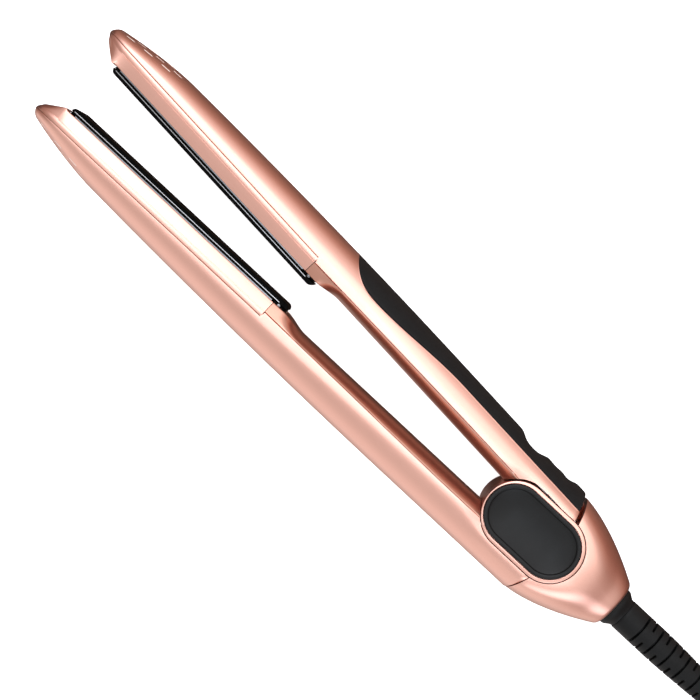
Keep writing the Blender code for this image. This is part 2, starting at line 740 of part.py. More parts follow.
def build_swivel(parent):
    """Collar that turns in the tail, its contact rings, and the ribbed strain relief."""
    quarter = math.pi / 2
    collar = [(0.0, 4.4), (6.2, 4.4), (6.6, 3.4), (7.6, 2.0), (8.0, 0.8), (8.0, -6.0)]
    collar += [(8.7, -6.0), (8.7, -7.8), (4.0, -7.8), (4.0, -14.4), (0.0, -14.4)]
    collar = [(radius * MM, height * MM) for radius, height in collar]
    # Heights run along -x from the tail's end, where the collar comes out.
    turned("swivel_collar", collar, "cord_black", parent, (-0.6 * MM, 0, 0), (0, -quarter, 0), 24)
    for name, top in (("front", -12.0), ("rear", -9.0)):
        ring = [(5.2, top), (5.2, top - 1.4), (4.3, top - 1.4), (4.3, top), (5.2, top)]
        ring = [(radius * MM, height * MM) for radius, height in ring]
        place_x = (-0.6 * MM, 0, 0)
        turned(name + "_contact_ring", ring, "brass", parent, place_x, (0, -quarter, 0), 20)
    profile = relief_profile()
    turned("strain_relief", profile, "cord_black", parent, (0, 0, 0), (0, -quarter, 0), 16)


def relief_profile():
    """A sleeve, then ribs between grooves, tapering to the cord. Heights run along the cord."""
    first_groove = 13.4 * MM
    end = TAIL_END_X - RELIEF_END_X
    points = [(0.0, end), (relief_radius(end), end)]
    for number in reversed(range(RELIEF_GROOVES)):
        low = first_groove + number * RELIEF_PITCH
        high = low + 1.0 * MM
        points += [(relief_radius(high), high), (relief_radius(high) - 1.2 * MM, high)]
        points += [(relief_radius(low) - 1.2 * MM, low), (relief_radius(low), low)]
    return points + [(SLEEVE_RADIUS, 5.4 * MM), (0.0, 5.4 * MM)]


def relief_radius(height):
    taper = smoothstep(20 * MM, 66 * MM, height)
    return mix(SLEEVE_RADIUS, 4.7 * MM, taper)


# ---------------------------------------------------------------- electronics and cord


def build_board(parent):
    """Control board in the fixed handle, with its parts standing off it towards the arm's back."""
    board_low, board_top = 11.2 * MM, 12.6 * MM
    low, high = (32 * MM, board_low, -11 * MM), (104 * MM, board_top, 11 * MM)
    box("control_board", low, high, "board_green", parent)
    parts = {  # place along and across the arm, length, height, width
        "power_module": (48, -4, 16, 4.2, 9),
        "control_chip": (68, 3, 9, 1.6, 9),
        "plate_relay": (87, -3, 12, 3.6, 9),
    }
    for name, sizes in parts.items():
        x, z, length, height, width = (size * MM for size in sizes)
        low = (x - length / 2, board_top + GAP, z - width / 2)
        high = (x + length / 2, board_top + GAP + height, z + width / 2)
        box(name, low, high, "soft_black", parent)
    for name, x in (("front", 100.5), ("rear", 35.5)):
        head = [(0.0, 1.4), (1.2, 1.4), (1.8, 0.7), (1.8, 0.0), (0.0, 0.0)]
        head = [(radius * MM, height * MM) for radius, height in head]
        spot = (x * MM, board_top + GAP, 0.0)
        turned(name + "_board_screw", head, "steel", parent, spot, (-math.pi / 2, 0, 0), 12)
    low, high = (107 * MM, 10.6 * MM, -2 * MM), (111 * MM, 13.2 * MM, 2 * MM)
    box("thermal_fuse", low, high, "ceramic_white", parent)


def build_cord(parent):
    """Lead from the strain relief, the hank that holds its length, its tie, and the end at the plug."""
    for name, points in (("cord_lead", LEAD_ROUTE), ("cord_end", END_ROUTE)):
        route = smooth_route([Vector(point) * MM for point in points], 5 * CORD_RADIUS)
        tube(name, route, CORD_RADIUS, "cord_black", parent)
    outline = stadium(HANK_RADIUS, HANK_STRAIGHT / 2, steps=12)
    hank = prism("cord_hank", outline, HANK_LOW, HANK_LOW + HANK_HEIGHT, "cord_black", parent)
    hank.location = (*HANK_CENTRE, 0.0)
    x, y = HANK_CENTRE
    half, outer = 8 * MM, HANK_RADIUS + GAP
    wide, top = outer + TIE_THICKNESS, HANK_LOW + HANK_HEIGHT + GAP
    low, high = (x - half, y - wide, 0.0), (x + half, y + wide, top + TIE_THICKNESS)
    tie = box("cord_tie", low, high, "soft_black", parent)
    low, high = (x - 2 * half, y - outer, TIE_THICKNESS), (x + 2 * half, y + outer, top)
    cut(tie, as_cutter(box("tie_space", low, high, "steel", parent)))


def build_plug(parent):
    y = PLUG_CENTRE_Y
    rings = []
    shape = ((0.0, 4.6, 4.6), (7.0, 6.0, 5.6), (13.0, 11.0, 7.2), (32.0, 12.0, 7.2))
    for run, width, height in shape:
        ring = []
        for i in range(16):
            angle = 2 * math.pi * i / 16
            across = math.copysign(abs(math.cos(angle)) ** 0.6, math.cos(angle))
            rise = math.copysign(abs(math.sin(angle)) ** 0.6, math.sin(angle))
            z = PLUG_HEIGHT / 2 + height * MM * rise
            ring.append((PLUG_REAR_X + run * MM, y + width * MM * across, z))
        rings.append(ring)
    loft("plug_body", rings, "cord_black", parent)
    face = PLUG_REAR_X + PLUG_LENGTH + GAP
    for name, side in (("near", -1), ("far", 1)):
        middle = y + side * BLADE_SPACING / 2
        low = (face, middle - 0.75 * MM, PLUG_HEIGHT / 2 - 3.2 * MM)
        high = (face + BLADE_LENGTH, middle + 0.75 * MM, PLUG_HEIGHT / 2 + 3.2 * MM)
        box("plug_blade_" + name, low, high, "brass", parent)


def main():
    clear_scene()
    new_collection("flat_iron")
    new_collection("cutters")
    make_materials()
    middle = (0.0, 0.0, MID_HEIGHT)
    fixed = new_pivot("fixed_arm_frame", middle)
    moving = new_pivot("hinge_pivot", middle, -OPEN_ANGLE)
    swivel = new_pivot("swivel_pivot", (TAIL_END_X, 0.0, MID_HEIGHT))
    ground = new_pivot("ground_frame", (0.0, 0.0, 0.0))

    build_arm("fixed", fixed, 1, FIXED_END_X, SHELL_WALL)
    plate_assembly("fixed", fixed, 1)
    heater_leads("fixed", fixed, 1, 113)
    shell, cover = build_arm("moving", moving, -1, MOVING_END_X, GRIP_SHELL_WALL)
    turned_hub = hub_cutter("hub_space_when_open", HUB_RADIUS + GAP, moving, OPEN_ANGLE)
    cut(shell, turned_hub)
    cut(cover, turned_hub)
    plate_assembly("moving", moving, -1)
    heater_leads("moving", moving, -1, 24)
    build_grip(moving, -1, shell)
    build_hinge(fixed, moving)
    build_tail(fixed)
    build_swivel(swivel)
    build_board(fixed)
    build_cord(ground)
    build_plug(ground)


main()
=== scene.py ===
"""Looks of the flat iron: fine surfaces, materials, studio and camera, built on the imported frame.

Each arm is made in its own frame: x along the arm, y outward from the plates' meeting plane, z across.
Lengths are metres; MM turns millimetres into them.
"""

import json
from math import acos, copysign, cos, exp, hypot, pi, radians, sin, sqrt

import bmesh
import bpy
from mathutils import Matrix, Vector


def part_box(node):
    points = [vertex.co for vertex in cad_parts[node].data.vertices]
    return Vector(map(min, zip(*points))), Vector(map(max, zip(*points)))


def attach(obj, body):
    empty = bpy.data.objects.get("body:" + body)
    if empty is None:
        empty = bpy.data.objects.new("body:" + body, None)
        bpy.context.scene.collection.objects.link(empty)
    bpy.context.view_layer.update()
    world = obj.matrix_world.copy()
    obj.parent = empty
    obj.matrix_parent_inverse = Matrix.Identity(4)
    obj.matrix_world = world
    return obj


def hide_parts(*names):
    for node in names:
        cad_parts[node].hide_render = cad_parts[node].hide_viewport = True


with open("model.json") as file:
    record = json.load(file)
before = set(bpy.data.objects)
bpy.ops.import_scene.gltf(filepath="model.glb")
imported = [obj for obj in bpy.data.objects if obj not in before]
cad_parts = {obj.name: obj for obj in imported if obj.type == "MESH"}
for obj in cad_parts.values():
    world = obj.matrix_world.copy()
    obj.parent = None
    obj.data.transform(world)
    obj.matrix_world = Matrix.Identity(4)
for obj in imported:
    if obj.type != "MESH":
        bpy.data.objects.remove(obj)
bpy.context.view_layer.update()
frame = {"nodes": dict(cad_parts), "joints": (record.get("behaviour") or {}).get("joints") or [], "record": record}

MM = 0.001
QUARTER = pi / 2
SHARP_ANGLE = radians(32)  # edges above it stay sharp

# Places and sizes read from the frame
JOINTS = {joint["name"]: joint for joint in frame["joints"]}
MID_HEIGHT = JOINTS["clamp_hinge"]["pos_m"][2]
OPEN_ANGLE = radians(JOINTS["clamp_hinge"]["range_deg"][1])
TAIL_END_X = JOINTS["cord_swivel"]["pos_m"][0]
TIP_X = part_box("fixed_arm_shell")[1].x
PLATE_LOW, PLATE_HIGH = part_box("fixed_heating_plate")
PLATE_REAR_X = PLATE_LOW.x
PLATE_FRONT_X = PLATE_HIGH.x
PLATE_HALF_WIDTH = PLATE_HIGH.z - MID_HEIGHT
HUB_LOW, HUB_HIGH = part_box("hinge_hub")
CAP_LOW, CAP_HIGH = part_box("upper_hinge_cap")
CAP_INNER_Z = CAP_LOW.z - MID_HEIGHT
RELIEF_END_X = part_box("strain_relief")[0].x
SEAM_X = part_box("fixed_plate_frame")[0].x - 0.3 * MM
HUB_TOP = HUB_HIGH.z - MID_HEIGHT

# Arm form, as the CAD model states it
GAP = 0.3 * MM
ARM_HALF_WIDTH = 16 * MM
CROWN_HEIGHT = 23.1 * MM
ROUNDNESS = 2.2
BELLY_START_X = 60 * MM
BELLY_LENGTH = 133 * MM
BELLY_DROP = 2.7 * MM
NOSE_START_X = 212 * MM
NOSE_LENGTH = 34 * MM
NOSE_DROP = 4.07 * MM
NOSE_POWER = 1.63
TAPER_START_X = 205 * MM
TAPER_LENGTH = 44 * MM
NOSE_X = 236.6 * MM
CLOSING_LENGTH = 2.6 * MM  # over which the nose rounds off at the tip
TIP_HEIGHT = 10.6 * MM
FACET_HEIGHT = 2.8 * MM
FACET_SLOPE = 0.578
HANDLE_EDGE = 9.6 * MM  # parting line's height at the hinge
SEAM_EDGE = 8.2 * MM  # at the handle's front end
EDGE_FALL_LENGTH = 90 * MM
PLATE_EDGE = 10.4 * MM
SHELL_WALL = 1.8 * MM
GRIP_SHELL_WALL = 4 * MM
END_SLANT = 0.3
END_HEIGHT = 14 * MM
END_X = {"fixed": -9 * MM, "moving": -6.4 * MM}
RIM_HEIGHT = 3.4 * MM
STRIP_HEIGHT = 8.2 * MM
CREST_START_X = 222 * MM  # where the leaning side starts to rise to its front crest
HANDLE_FACE = 5 * MM
SLOPE_START_X = 114 * MM
SLOPE_END_X = 125.5 * MM
COVER_WALL = 1.5 * MM
COVER_HOLLOW_END_X = 117.5 * MM
LIP = 0.2 * MM  # rounding along visible edges
SEAM_GAP = 0.12 * MM  # between covers that meet
SKIRT = 2 * MM  # over which the back runs into the straight side

GRIP_START_X = 121.8 * MM
GRIP_WIDEST_X = 104 * MM
GRIP_REAR_X = -6.2 * MM
GRIP_DEPTH = 2.3 * MM
GRIP_PLATEAU = 0.59
GRIP_SHOULDER = 0.77
BUTTONS = {  # place along the arm, height of the top
    "power_button": (23.2 * MM, 21 * MM),
    "temperature_up_button": (12.6 * MM, 22.7 * MM),
    "temperature_down_button": (4.4 * MM, 22.8 * MM),
}
BUTTON_FOOT = 18.4 * MM
BUTTON_RADIUS = 3.4 * MM

TAIL_FRONT_X = -9.4 * MM
TAIL_HEIGHT = 22.9 * MM
TAIL_CURVE_X = TAIL_FRONT_X + 4.4 * MM  # where it starts to fall
TAIL_CURVE = 0.0362
TAIL_POWER = 1.636
TAIL_END_HALF_WIDTH = 9.4 * MM
TAIL_FLAT = 0.5 * MM
TAIL_WALL = 2 * MM
SLEEVE_RADIUS = 6.4 * MM
RELIEF_PITCH = 7.1 * MM

# Cord
CORD_RADIUS = 3.5 * MM
HANK_CENTRE = Vector((-255.5, -4.0, 0.0)) * MM
HANK_HALF_STRAIGHT = 33.5 * MM
HANK_BEND = pi * 25 * MM  # length of a half turn in the hank's middle
# Radius of each turn's round ends, and its height, in millimetres
HANK_SLOTS = [(28.5, 4.8), (21.5, 4.8), (21.5, 11.8), (28.5, 11.8), (21.5, 18.8), (28.5, 18.8)]
LEAD_ROUTE = [
    (-105.3, 0.0, 16.5), (-122.0, 0.0, 16.2), (-140.0, 1.5, 12.6), (-157.0, 6.5, 6.8),
    (-172.0, 14.0, 4.1), (-187.0, 21.0, 4.3), (-201.7, 24.5, 4.8),
]
END_ROUTE = [
    (-201.7, -32.5, 18.8), (-187.0, -32.1, 17.4), (-171.0, -29.3, 12.8), (-154.0, -25.6, 8.3),
    (-136.8, -24.0, 7.2),
]

AS_DRAWN = Matrix.Identity(4)
LAID_BACK = Matrix.Rotation(-QUARTER, 4, "Y")  # turns z to point back along the iron
HINGE_PLACE = Matrix.Translation((0, 0, MID_HEIGHT))
ARM_PLACE = {"fixed": HINGE_PLACE, "moving": HINGE_PLACE @ Matrix.Rotation(-OPEN_ANGLE, 4, "Z")}
ARM_SIDE = {"fixed": 1, "moving": -1}
HUB_ANGLES = {"fixed": [0.0], "moving": [0.0, OPEN_ANGLE]}  # from closed to open, seen from the arm


def link(piece):
    bpy.context.scene.collection.objects.link(piece)


# ---- camera


def make_camera():
    """A long lens almost straight above the iron, which lies across the picture at a slant."""
    target = Vector((97.5, -2.6, 16.5)) * MM
    distance, tilt, slant = 0.74, radians(2.25), radians(43.0)
    back = Vector((0.0, -sin(tilt), cos(tilt)))
    right = Vector((-cos(slant), -sin(slant), 0.0))
    right = (right - back * right.dot(back)).normalized()
    up = back.cross(right)
    data = bpy.data.cameras.new("camera")
    data.lens = 100.0
    data.sensor_width = 36.0
    camera = bpy.data.objects.new("camera", data)
    link(camera)
    turn = Matrix((right, up, back)).transposed().to_4x4()
    camera.matrix_world = Matrix.Translation(target + back * distance) @ turn
    bpy.context.scene.camera = camera


# ---- materials


def new_material(name):
    material = bpy.data.materials.new(name)
    material.use_nodes = True
    tree = material.node_tree
    return material, tree, tree.nodes["Principled BSDF"]


def feed(node, inputs):
    """Gives a node its inputs, each a value or another node's output."""
    for key, value in inputs.items():
        if isinstance(value, bpy.types.NodeSocket):
            node.id_data.links.new(value, node.inputs[key])
        else:
            node.inputs[key].default_value = value


def add_node(tree, kind, inputs):
    node = tree.nodes.new(kind)
    feed(node, inputs)
    return node


def calculate(tree, operation, first, second=0.0):
    node = tree.nodes.new("ShaderNodeMath")
    node.operation = operation
    feed(node, {0: first, 1: second})
    return node.outputs["Value"]


def own_place(tree):
    return tree.nodes.new("ShaderNodeTexCoord").outputs["Object"]


def add_noise(tree, scale, detail=3.0):
    """Noise in the piece's own coordinates; scale is the number of features in a metre."""
    inputs = {"Scale": scale, "Detail": detail, "Vector": own_place(tree)}
    return add_node(tree, "ShaderNodeTexNoise", inputs).outputs["Fac"]


def vary_colour(tree, shader, value, dark, light):
    ramp = add_node(tree, "ShaderNodeValToRGB", {"Fac": value})
    low, high = ramp.color_ramp.elements
    low.position, high.position = 0.3, 0.7
    low.color, high.color = (*dark, 1.0), (*light, 1.0)
    feed(shader, {"Base Color": ramp.outputs["Color"]})


def vary_roughness(tree, shader, value, low, high):
    span = add_node(tree, "ShaderNodeMapRange", {"To Min": low, "To Max": high, "Value": value})
    feed(shader, {"Roughness": span.outputs["Result"]})


def add_bump(tree, shader, value, height, strength):
    bump = add_node(tree, "ShaderNodeBump", {"Distance": height, "Strength": strength, "Height": value})
    feed(shader, {"Normal": bump.outputs["Normal"]})


def rose_gold(name, dark, light):
    """Satin metallic lacquer: fine flake in the base, a soft clear coat over it."""
    material, tree, shader = new_material(name)
    feed(shader, {"Metallic": 0.96, "Coat Weight": 0.25, "Coat Roughness": 0.25})
    flake = add_noise(tree, 5200.0, 2.0)
    vary_colour(tree, shader, flake, dark, light)
    vary_roughness(tree, shader, add_noise(tree, 260.0), 0.28, 0.34)
    add_bump(tree, shader, flake, 0.004 * MM, 0.35)
    return material


def black_glaze():
    """Polished ceramic glaze of the plates, with faint wear along its length."""
    material, tree, shader = new_material("black_ceramic_glaze")
    feed(shader, {"Specular IOR Level": 0.1, "IOR": 1.12})
    vary_colour(tree, shader, add_noise(tree, 900.0), (0.002, 0.002, 0.002), (0.004, 0.004, 0.004))
    vary_roughness(tree, shader, add_noise(tree, 420.0), 0.1, 0.2)
    return material


def bright_metal(name, base, low, high):
    material, tree, shader = new_material(name)
    feed(shader, {"Metallic": 1.0})
    scale = 1600.0
    grain = add_noise(tree, scale)
    vary_colour(tree, shader, grain, tuple(0.88 * value for value in base), base)
    vary_roughness(tree, shader, add_noise(tree, scale / 6), low, high)
    add_bump(tree, shader, grain, 0.006 * MM, 0.3)
    return material


def moulded(name, base, low, high, grain_scale=2600.0, grain_height=0.02 * MM, level=0.5):
    """A moulded plastic or rubber with a fine grain."""
    material, tree, shader = new_material(name)
    feed(shader, {"Specular IOR Level": level})
    vary_colour(tree, shader, add_noise(tree, 180.0), tuple(0.82 * value for value in base), base)
    vary_roughness(tree, shader, add_noise(tree, 700.0), low, high)
    add_bump(tree, shader, add_noise(tree, grain_scale, 4.0), grain_height, 0.6)
    return material


def circuit_board():
    """Solder mask with copper lands that show as paler cells."""
    material, tree, shader = new_material("board_lacquer")
    cells = add_node(tree, "ShaderNodeTexVoronoi", {"Scale": 520.0, "Vector": own_place(tree)})
    distance = cells.outputs["Distance"]
    vary_colour(tree, shader, distance, (0.05, 0.3, 0.14), (0.02, 0.16, 0.07))
    feed(shader, {"Roughness": 0.35})
    add_bump(tree, shader, distance, 0.03 * MM, 0.4)
    return material


def woven(name, base):
    """Hook-and-loop strap: a fine weave across and along."""
    material, tree, shader = new_material(name)
    threads = []
    for direction in ("X", "Y"):
        inputs = {"Scale": 900.0, "Distortion": 1.5, "Vector": own_place(tree)}
        wave = add_node(tree, "ShaderNodeTexWave", inputs)
        wave.bands_direction = direction
        threads.append(wave.outputs["Fac"])
    weave = calculate(tree, "MULTIPLY", *threads)
    vary_colour(tree, shader, weave, base, tuple(2.2 * value for value in base))
    feed(shader, {"Roughness": 0.85, "Sheen Weight": 0.3})
    add_bump(tree, shader, weave, 0.12 * MM, 0.8)
    return material


def make_materials():
    return {
        "rose_gold": rose_gold("rose_gold_lacquer", (0.84, 0.46, 0.37), (0.9, 0.51, 0.415)),
        # The inner covers' lacquer is the same rose gold painted darker: painted shade for the dark reflections
        # they take where they face the other arm.
        "rose_gold_painted_shade": rose_gold("rose_gold_painted_shade_lacquer", (0.62, 0.305, 0.225), (0.67, 0.345, 0.26)),
        "plate_black": black_glaze(),
        "silver": bright_metal("bright_aluminium", (0.8, 0.8, 0.81), 0.16, 0.26),
        "trim_metal": bright_metal("dark_chrome", (0.24, 0.24, 0.25), 0.2, 0.3),
        "line_metal": bright_metal("edge_line_metal", (0.42, 0.42, 0.43), 0.16, 0.26),
        # Pale screens in the vent slots: their pale colour is a painted highlight for the slots' bright rims.
        "painted_highlight_screen": moulded("slot_screen_painted_highlight", (0.86, 0.76, 0.7), 0.4, 0.5, 1500.0),
        "steel": bright_metal("plated_steel", (0.62, 0.63, 0.65), 0.25, 0.4),
        "brass": bright_metal("bright_brass", (0.8, 0.62, 0.3), 0.2, 0.34),
        "soft_black": moulded("soft_touch_black", (0.011, 0.011, 0.0112), 0.45, 0.55, level=0.11),
        "cap_black": moulded("satin_black", (0.009, 0.009, 0.0092), 0.34, 0.42, 3200.0, 0.006 * MM, 0.22),
        "cord_black": moulded("flexible_black", (0.008, 0.008, 0.008), 0.42, 0.55, 1500.0, level=0.15),
        "ceramic_white": moulded("fired_ceramic", (0.84, 0.82, 0.77), 0.35, 0.5, 900.0),
        "board_green": circuit_board(),
        "silicone": moulded("silicone_pad", (0.72, 0.73, 0.75), 0.5, 0.65, 1200.0),
        "wire_red": moulded("wire_sleeve", (0.5, 0.05, 0.04), 0.45, 0.6, 3000.0),
        "strap": woven("strap_weave", (0.014, 0.014, 0.016)),
    }


# ---- mesh helpers


def in_metres(points):
    return [(first * MM, second * MM) for first, second in points]


def moved(bm, matrix):
    bmesh.ops.transform(bm, matrix=matrix, verts=bm.verts)
    return bm


def enlist(piece, body, nodes):
    """Puts a piece in the scene, riding on its body and standing for its CAD nodes."""
    link(piece)
    if body:
        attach(piece, body)
    if nodes:
        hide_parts(*nodes)
    return piece


def add_piece(name, bm, material, place, body, node=None):
    moved(bm, place)
    bmesh.ops.recalc_face_normals(bm, faces=bm.faces)
    mesh = bpy.data.meshes.new(name)
    bm.to_mesh(mesh)
    bm.free()
    mesh.materials.append(MATERIALS[material])
    piece = bpy.data.objects.new(name, mesh)
    shade(piece)
    return enlist(piece, body, [node] if node else [])


def shade(piece):
    piece.data.shade_smooth()
    piece.data.set_sharp_from_angle(angle=SHARP_ANGLE)


def add_rows(bm, rings, closed=False):
    """Rows of vertices with faces between neighbours, and between the last and the first if closed."""
    rows = [[bm.verts.new(point) for point in ring] for ring in rings]
    for row, following in zip(rows, rows[1:] + (rows[:1] if closed else [])):
        for i in range(len(row)):
            j = (i + 1) % len(row)
            bm.faces.new((row[i], row[j], following[j], following[i]))
    return rows


def add_loft(bm, rings):
    """A closed body through rings of matching points."""
    rows = add_rows(bm, rings)
    bm.faces.new(rows[0])
    bm.faces.new(rows[-1][::-1])
    return bm


def loft(rings):
    return add_loft(bmesh.new(), rings)


def prism(outline, low, high):
    """A flat outline in x and y between two heights."""
    return loft([[(x, y, z) for x, y in outline] for z in (low, high)])


def full_turn(steps):
    return [2 * pi * i / steps for i in range(steps)]


def turned(profile, steps=64):
    """A profile of (radius, height) points turned about z; it starts and ends on the axis."""
    bm = bmesh.new()
    top, foot = [bm.verts.new((0.0, 0.0, profile[i][1])) for i in (0, -1)]
    turn = full_turn(steps)
    rows = add_rows(bm, [[(r * cos(a), r * sin(a), z) for a in turn] for r, z in profile[1:-1]])
    for end, row in ((top, rows[0]), (foot, rows[-1][::-1])):
        for i in range(steps):
            bm.faces.new((end, row[i], row[(i + 1) % steps]))
    return bm


def box(low, high, bevel=0.0, segments=3):
    bm = bmesh.new()
    corners = bmesh.ops.create_cube(bm, size=1.0)["verts"]
    centre = (Vector(low) + Vector(high)) / 2
    size = [abs(h - w) for w, h in zip(low, high)]
    for vert in corners:
        vert.co = Vector(c * s for c, s in zip(vert.co, size)) + centre
    if bevel:
        bmesh.ops.bevel(bm, geom=bm.edges[:], offset=bevel, segments=segments, profile=0.5, affect="EDGES")
    return bm


def carve(piece, shapes, place):
    """Takes the shapes, each a bmesh, out of a piece for good."""
    cutters = [add_piece("cutter", shape, "steel", place, None) for shape in shapes]
    for cutter in cutters:
        boolean = piece.modifiers.new("carve", "BOOLEAN")
        boolean.operation = "DIFFERENCE"
        boolean.solver = "MANIFOLD"
        boolean.object = cutter
    bpy.context.view_layer.update()
    shaped = piece.evaluated_get(bpy.context.evaluated_depsgraph_get())
    mesh = bpy.data.meshes.new_from_object(shaped)
    piece.modifiers.clear()
    piece.data = mesh
    for cutter in cutters:
        bpy.data.objects.remove(cutter)
    shade(piece)


def stadium(radius, half_straight, middle_x=0.0, steps=48):
    """A round-ended outline along x."""
    turn = spread(-QUARTER, QUARTER, steps)
    end = [(half_straight + radius * cos(angle), radius * sin(angle)) for angle in turn]
    return [(middle_x + side * x, side * y) for side in (1, -1) for x, y in end]


def oval(low, high, inset):
    """The outline of a round-ended box's face, moved in by an inset."""
    return stadium(high.y - inset, (high.x - low.x) / 2 - high.y, (high.x + low.x) / 2)


def smoothstep(start, end, x):
    t = min(1, max(0, (x - start) / (end - start)))
    return t * t * (3 - 2 * t)


def mix(a, b, share):
    return a + (b - a) * share


def spread(start, end, count):
    return [mix(start, end, i / count) for i in range(count + 1)]


def places(*spans):
    """Places along the arm from spans of (start, end, steps), given in millimetres."""
    return [x * MM for span in spans for x in spread(*span)]


def signed_power(value, power):
    return copysign(abs(value) ** power, value)


def smooth_route(points, step):
    """Points on a smooth curve through the given ones, about one step apart."""
    knots = [Vector(p) for p in points]
    knots = [2 * knots[0] - knots[1], *knots, 2 * knots[-1] - knots[-2]]
    route = [knots[1]]
    for before, start, end, after in zip(knots, knots[1:], knots[2:], knots[3:]):
        count = max(1, round((end - start).length / step))
        for i in range(1, count + 1):
            t = i / count
            bend = (end - before) * t + (2 * before - 5 * start + 4 * end - after) * t**2
            bend += (3 * start - before - 3 * end + after) * t**3
            route.append(start + bend / 2)
    return route


def tube(name, route, radius, material, body, resolution, nodes=()):
    curve = bpy.data.curves.new(name, "CURVE")
    curve.dimensions = "3D"
    curve.bevel_depth = radius
    curve.bevel_resolution = resolution
    curve.use_fill_caps = True
    spline = curve.splines.new("POLY")
    spline.points.add(len(route) - 1)
    for point, spot in zip(spline.points, route):
        point.co = (*spot, 1.0)
    spline.use_smooth = True
    curve.materials.append(MATERIALS[material])
    return enlist(bpy.data.objects.new(name, curve), body, nodes)


# ---- arm form


def closing(x):
    """1 along the arm, and down to 0 at the very tip, where the nose rounds off."""
    run = max(0, (x - (TIP_X - CLOSING_LENGTH)) / CLOSING_LENGTH)
    return sqrt(max(0, 1.0 - run * run))


def crown(x):
    belly = max(0, (x - BELLY_START_X) / BELLY_LENGTH)
    nose = max(0, (x - NOSE_START_X) / NOSE_LENGTH)
    return CROWN_HEIGHT - BELLY_DROP * belly**2 - NOSE_DROP * nose**NOSE_POWER


def half_width(x):
    taper = max(0, (x - TAPER_START_X) / TAPER_LENGTH)
    return ARM_HALF_WIDTH * sqrt(1.0 - taper**5) * mix(0.75, 1.0, closing(x))


def edge_height(x):
    if x < SEAM_X:
        return mix(SEAM_EDGE, HANDLE_EDGE, min(1, (SEAM_X - x) / EDGE_FALL_LENGTH))
    return mix(PLATE_EDGE, TIP_HEIGHT, max(0, (x - NOSE_X) / (TIP_X - NOSE_X)))


def curve_edge(x):
    """Height where the back's curve ends; below it the side runs straight to the parting line."""
    if x < SEAM_X:
        return mix(PLATE_EDGE, HANDLE_EDGE, smoothstep(SEAM_X, SEAM_X - EDGE_FALL_LENGTH, x))
    return edge_height(x)


def on_back(x, share, depth=0.0):
    """(y, z) on the arm's back: share is -1 at one edge, 0 on the crown and 1 at the other edge."""
    edge = curve_edge(x)
    angle = share * QUARTER
    rise = max(0, cos(angle)) ** (2 / ROUNDNESS)
    across = abs(sin(angle)) ** (2 / ROUNDNESS)
    y = edge + (crown(x) - depth - edge) * rise
    y -= (edge - edge_height(x)) * max(0, 1.0 - (y - edge) / SKIRT) ** 2
    z = copysign((half_width(x) - depth) * across, share)
    return TIP_HEIGHT + (y - TIP_HEIGHT) * closing(x), z


def flush_with_hub(x, y, z, full, reach, top):
    """z eased out to the hub's flat top near its outline, so that the covers meet it flush."""
    middle, half = (HUB_LOW.x + HUB_HIGH.x) / 2, (HUB_HIGH.x - HUB_LOW.x) / 2 - HUB_HIGH.y
    away = hypot(max(0, abs(x - middle) - half), y) - HUB_HIGH.y
    share = (1.0 - smoothstep(0.0, reach, away)) * min(1, abs(z) / full) ** 3
    return copysign(mix(abs(z), top, share), z)


def end_slant(end_x, x):
    """How far the section at x leans towards the arm's slanting rear end."""
    return END_SLANT * (1 - smoothstep(end_x, 6 * MM, x))


def slanted(x, y, slant):
    return x + slant * (y - END_HEIGHT)


def back_arc(x, depth, side, slant=0.0, lip=0.0):
    points = []
    edge = edge_height(x)
    for share in map(sin, spread(QUARTER, -QUARTER, 72)):
        y, z = on_back(x, share, depth)
        sunk = edge + lip - y
        if sunk > 0.0:
            z = copysign(abs(z) - lip + sqrt(max(0, lip**2 - sunk**2)), share)
        z = flush_with_hub(x, y, z, half_width(x), 5 * MM, HUB_TOP - depth)
        points.append((slanted(x, y, slant), side * y, z))
    return points


def nose_places(last):
    """Places over the tip's rounding, closer together towards its end."""
    return [TIP_X - CLOSING_LENGTH * (1 - t) for t in (0, 0.3, 0.5, 0.66, 0.8, 0.9, 0.96, last)]


def shell_rings(arm):
    """Sections of an arm's back cover, hollow inside, with rounded edges and a closed nose."""
    side, end_x = ARM_SIDE[arm], END_X[arm]
    handle_wall = GRIP_SHELL_WALL if arm == "moving" else SHELL_WALL
    rounding = {end_x: 0.3 * MM, end_x + 0.08 * MM: 0.11 * MM}
    stations = [*rounding, end_x + 0.3 * MM, *spread(end_x + 2 * MM, 6 * MM, 5)]
    stations += [*places((10, 129.6, 30)), SEAM_X - 0.3 * MM, SEAM_X + 0.3 * MM]
    stations += places((134, 206, 16), (208, 244, 24)) + nose_places(0.997)
    rings = []
    for x in stations:
        wall = handle_wall if x < SEAM_X else SHELL_WALL
        outer = back_arc(x, rounding.get(x, 0.0), side, end_slant(end_x, x), LIP)
        inner = back_arc(x, wall, side, end_slant(end_x, x))
        rings.append(outer + inner[::-1])
    return rings


def facet_height(x):
    """Height of the frame's lower side: the rim beside the plate, then the nose's sloping facet."""
    facet = FACET_HEIGHT + FACET_SLOPE * max(0, x - NOSE_X)
    return mix(RIM_HEIGHT, facet, smoothstep(NOSE_X - 1.2 * MM, NOSE_X, x))


def leaning_side(x, start, low, rise, lean):
    """(y, z) down the leaning side to the rim beside the plate; rise lifts it to the crest at its front."""
    width, foot = half_width(x), low + LIP
    points = []
    for t in spread(0, 1, 20):
        inset = 0.42 * MM + (0.35 * MM + 1.1 * MM * t + 0.4 * MM * t**2) * (1.0 - rise) + lean * t**2
        points.append((mix(start, foot, t), width - inset))
    last = points[-1][1]
    return points + [(low + 0.09 * MM, last - 0.09 * MM), (low, last - LIP)]


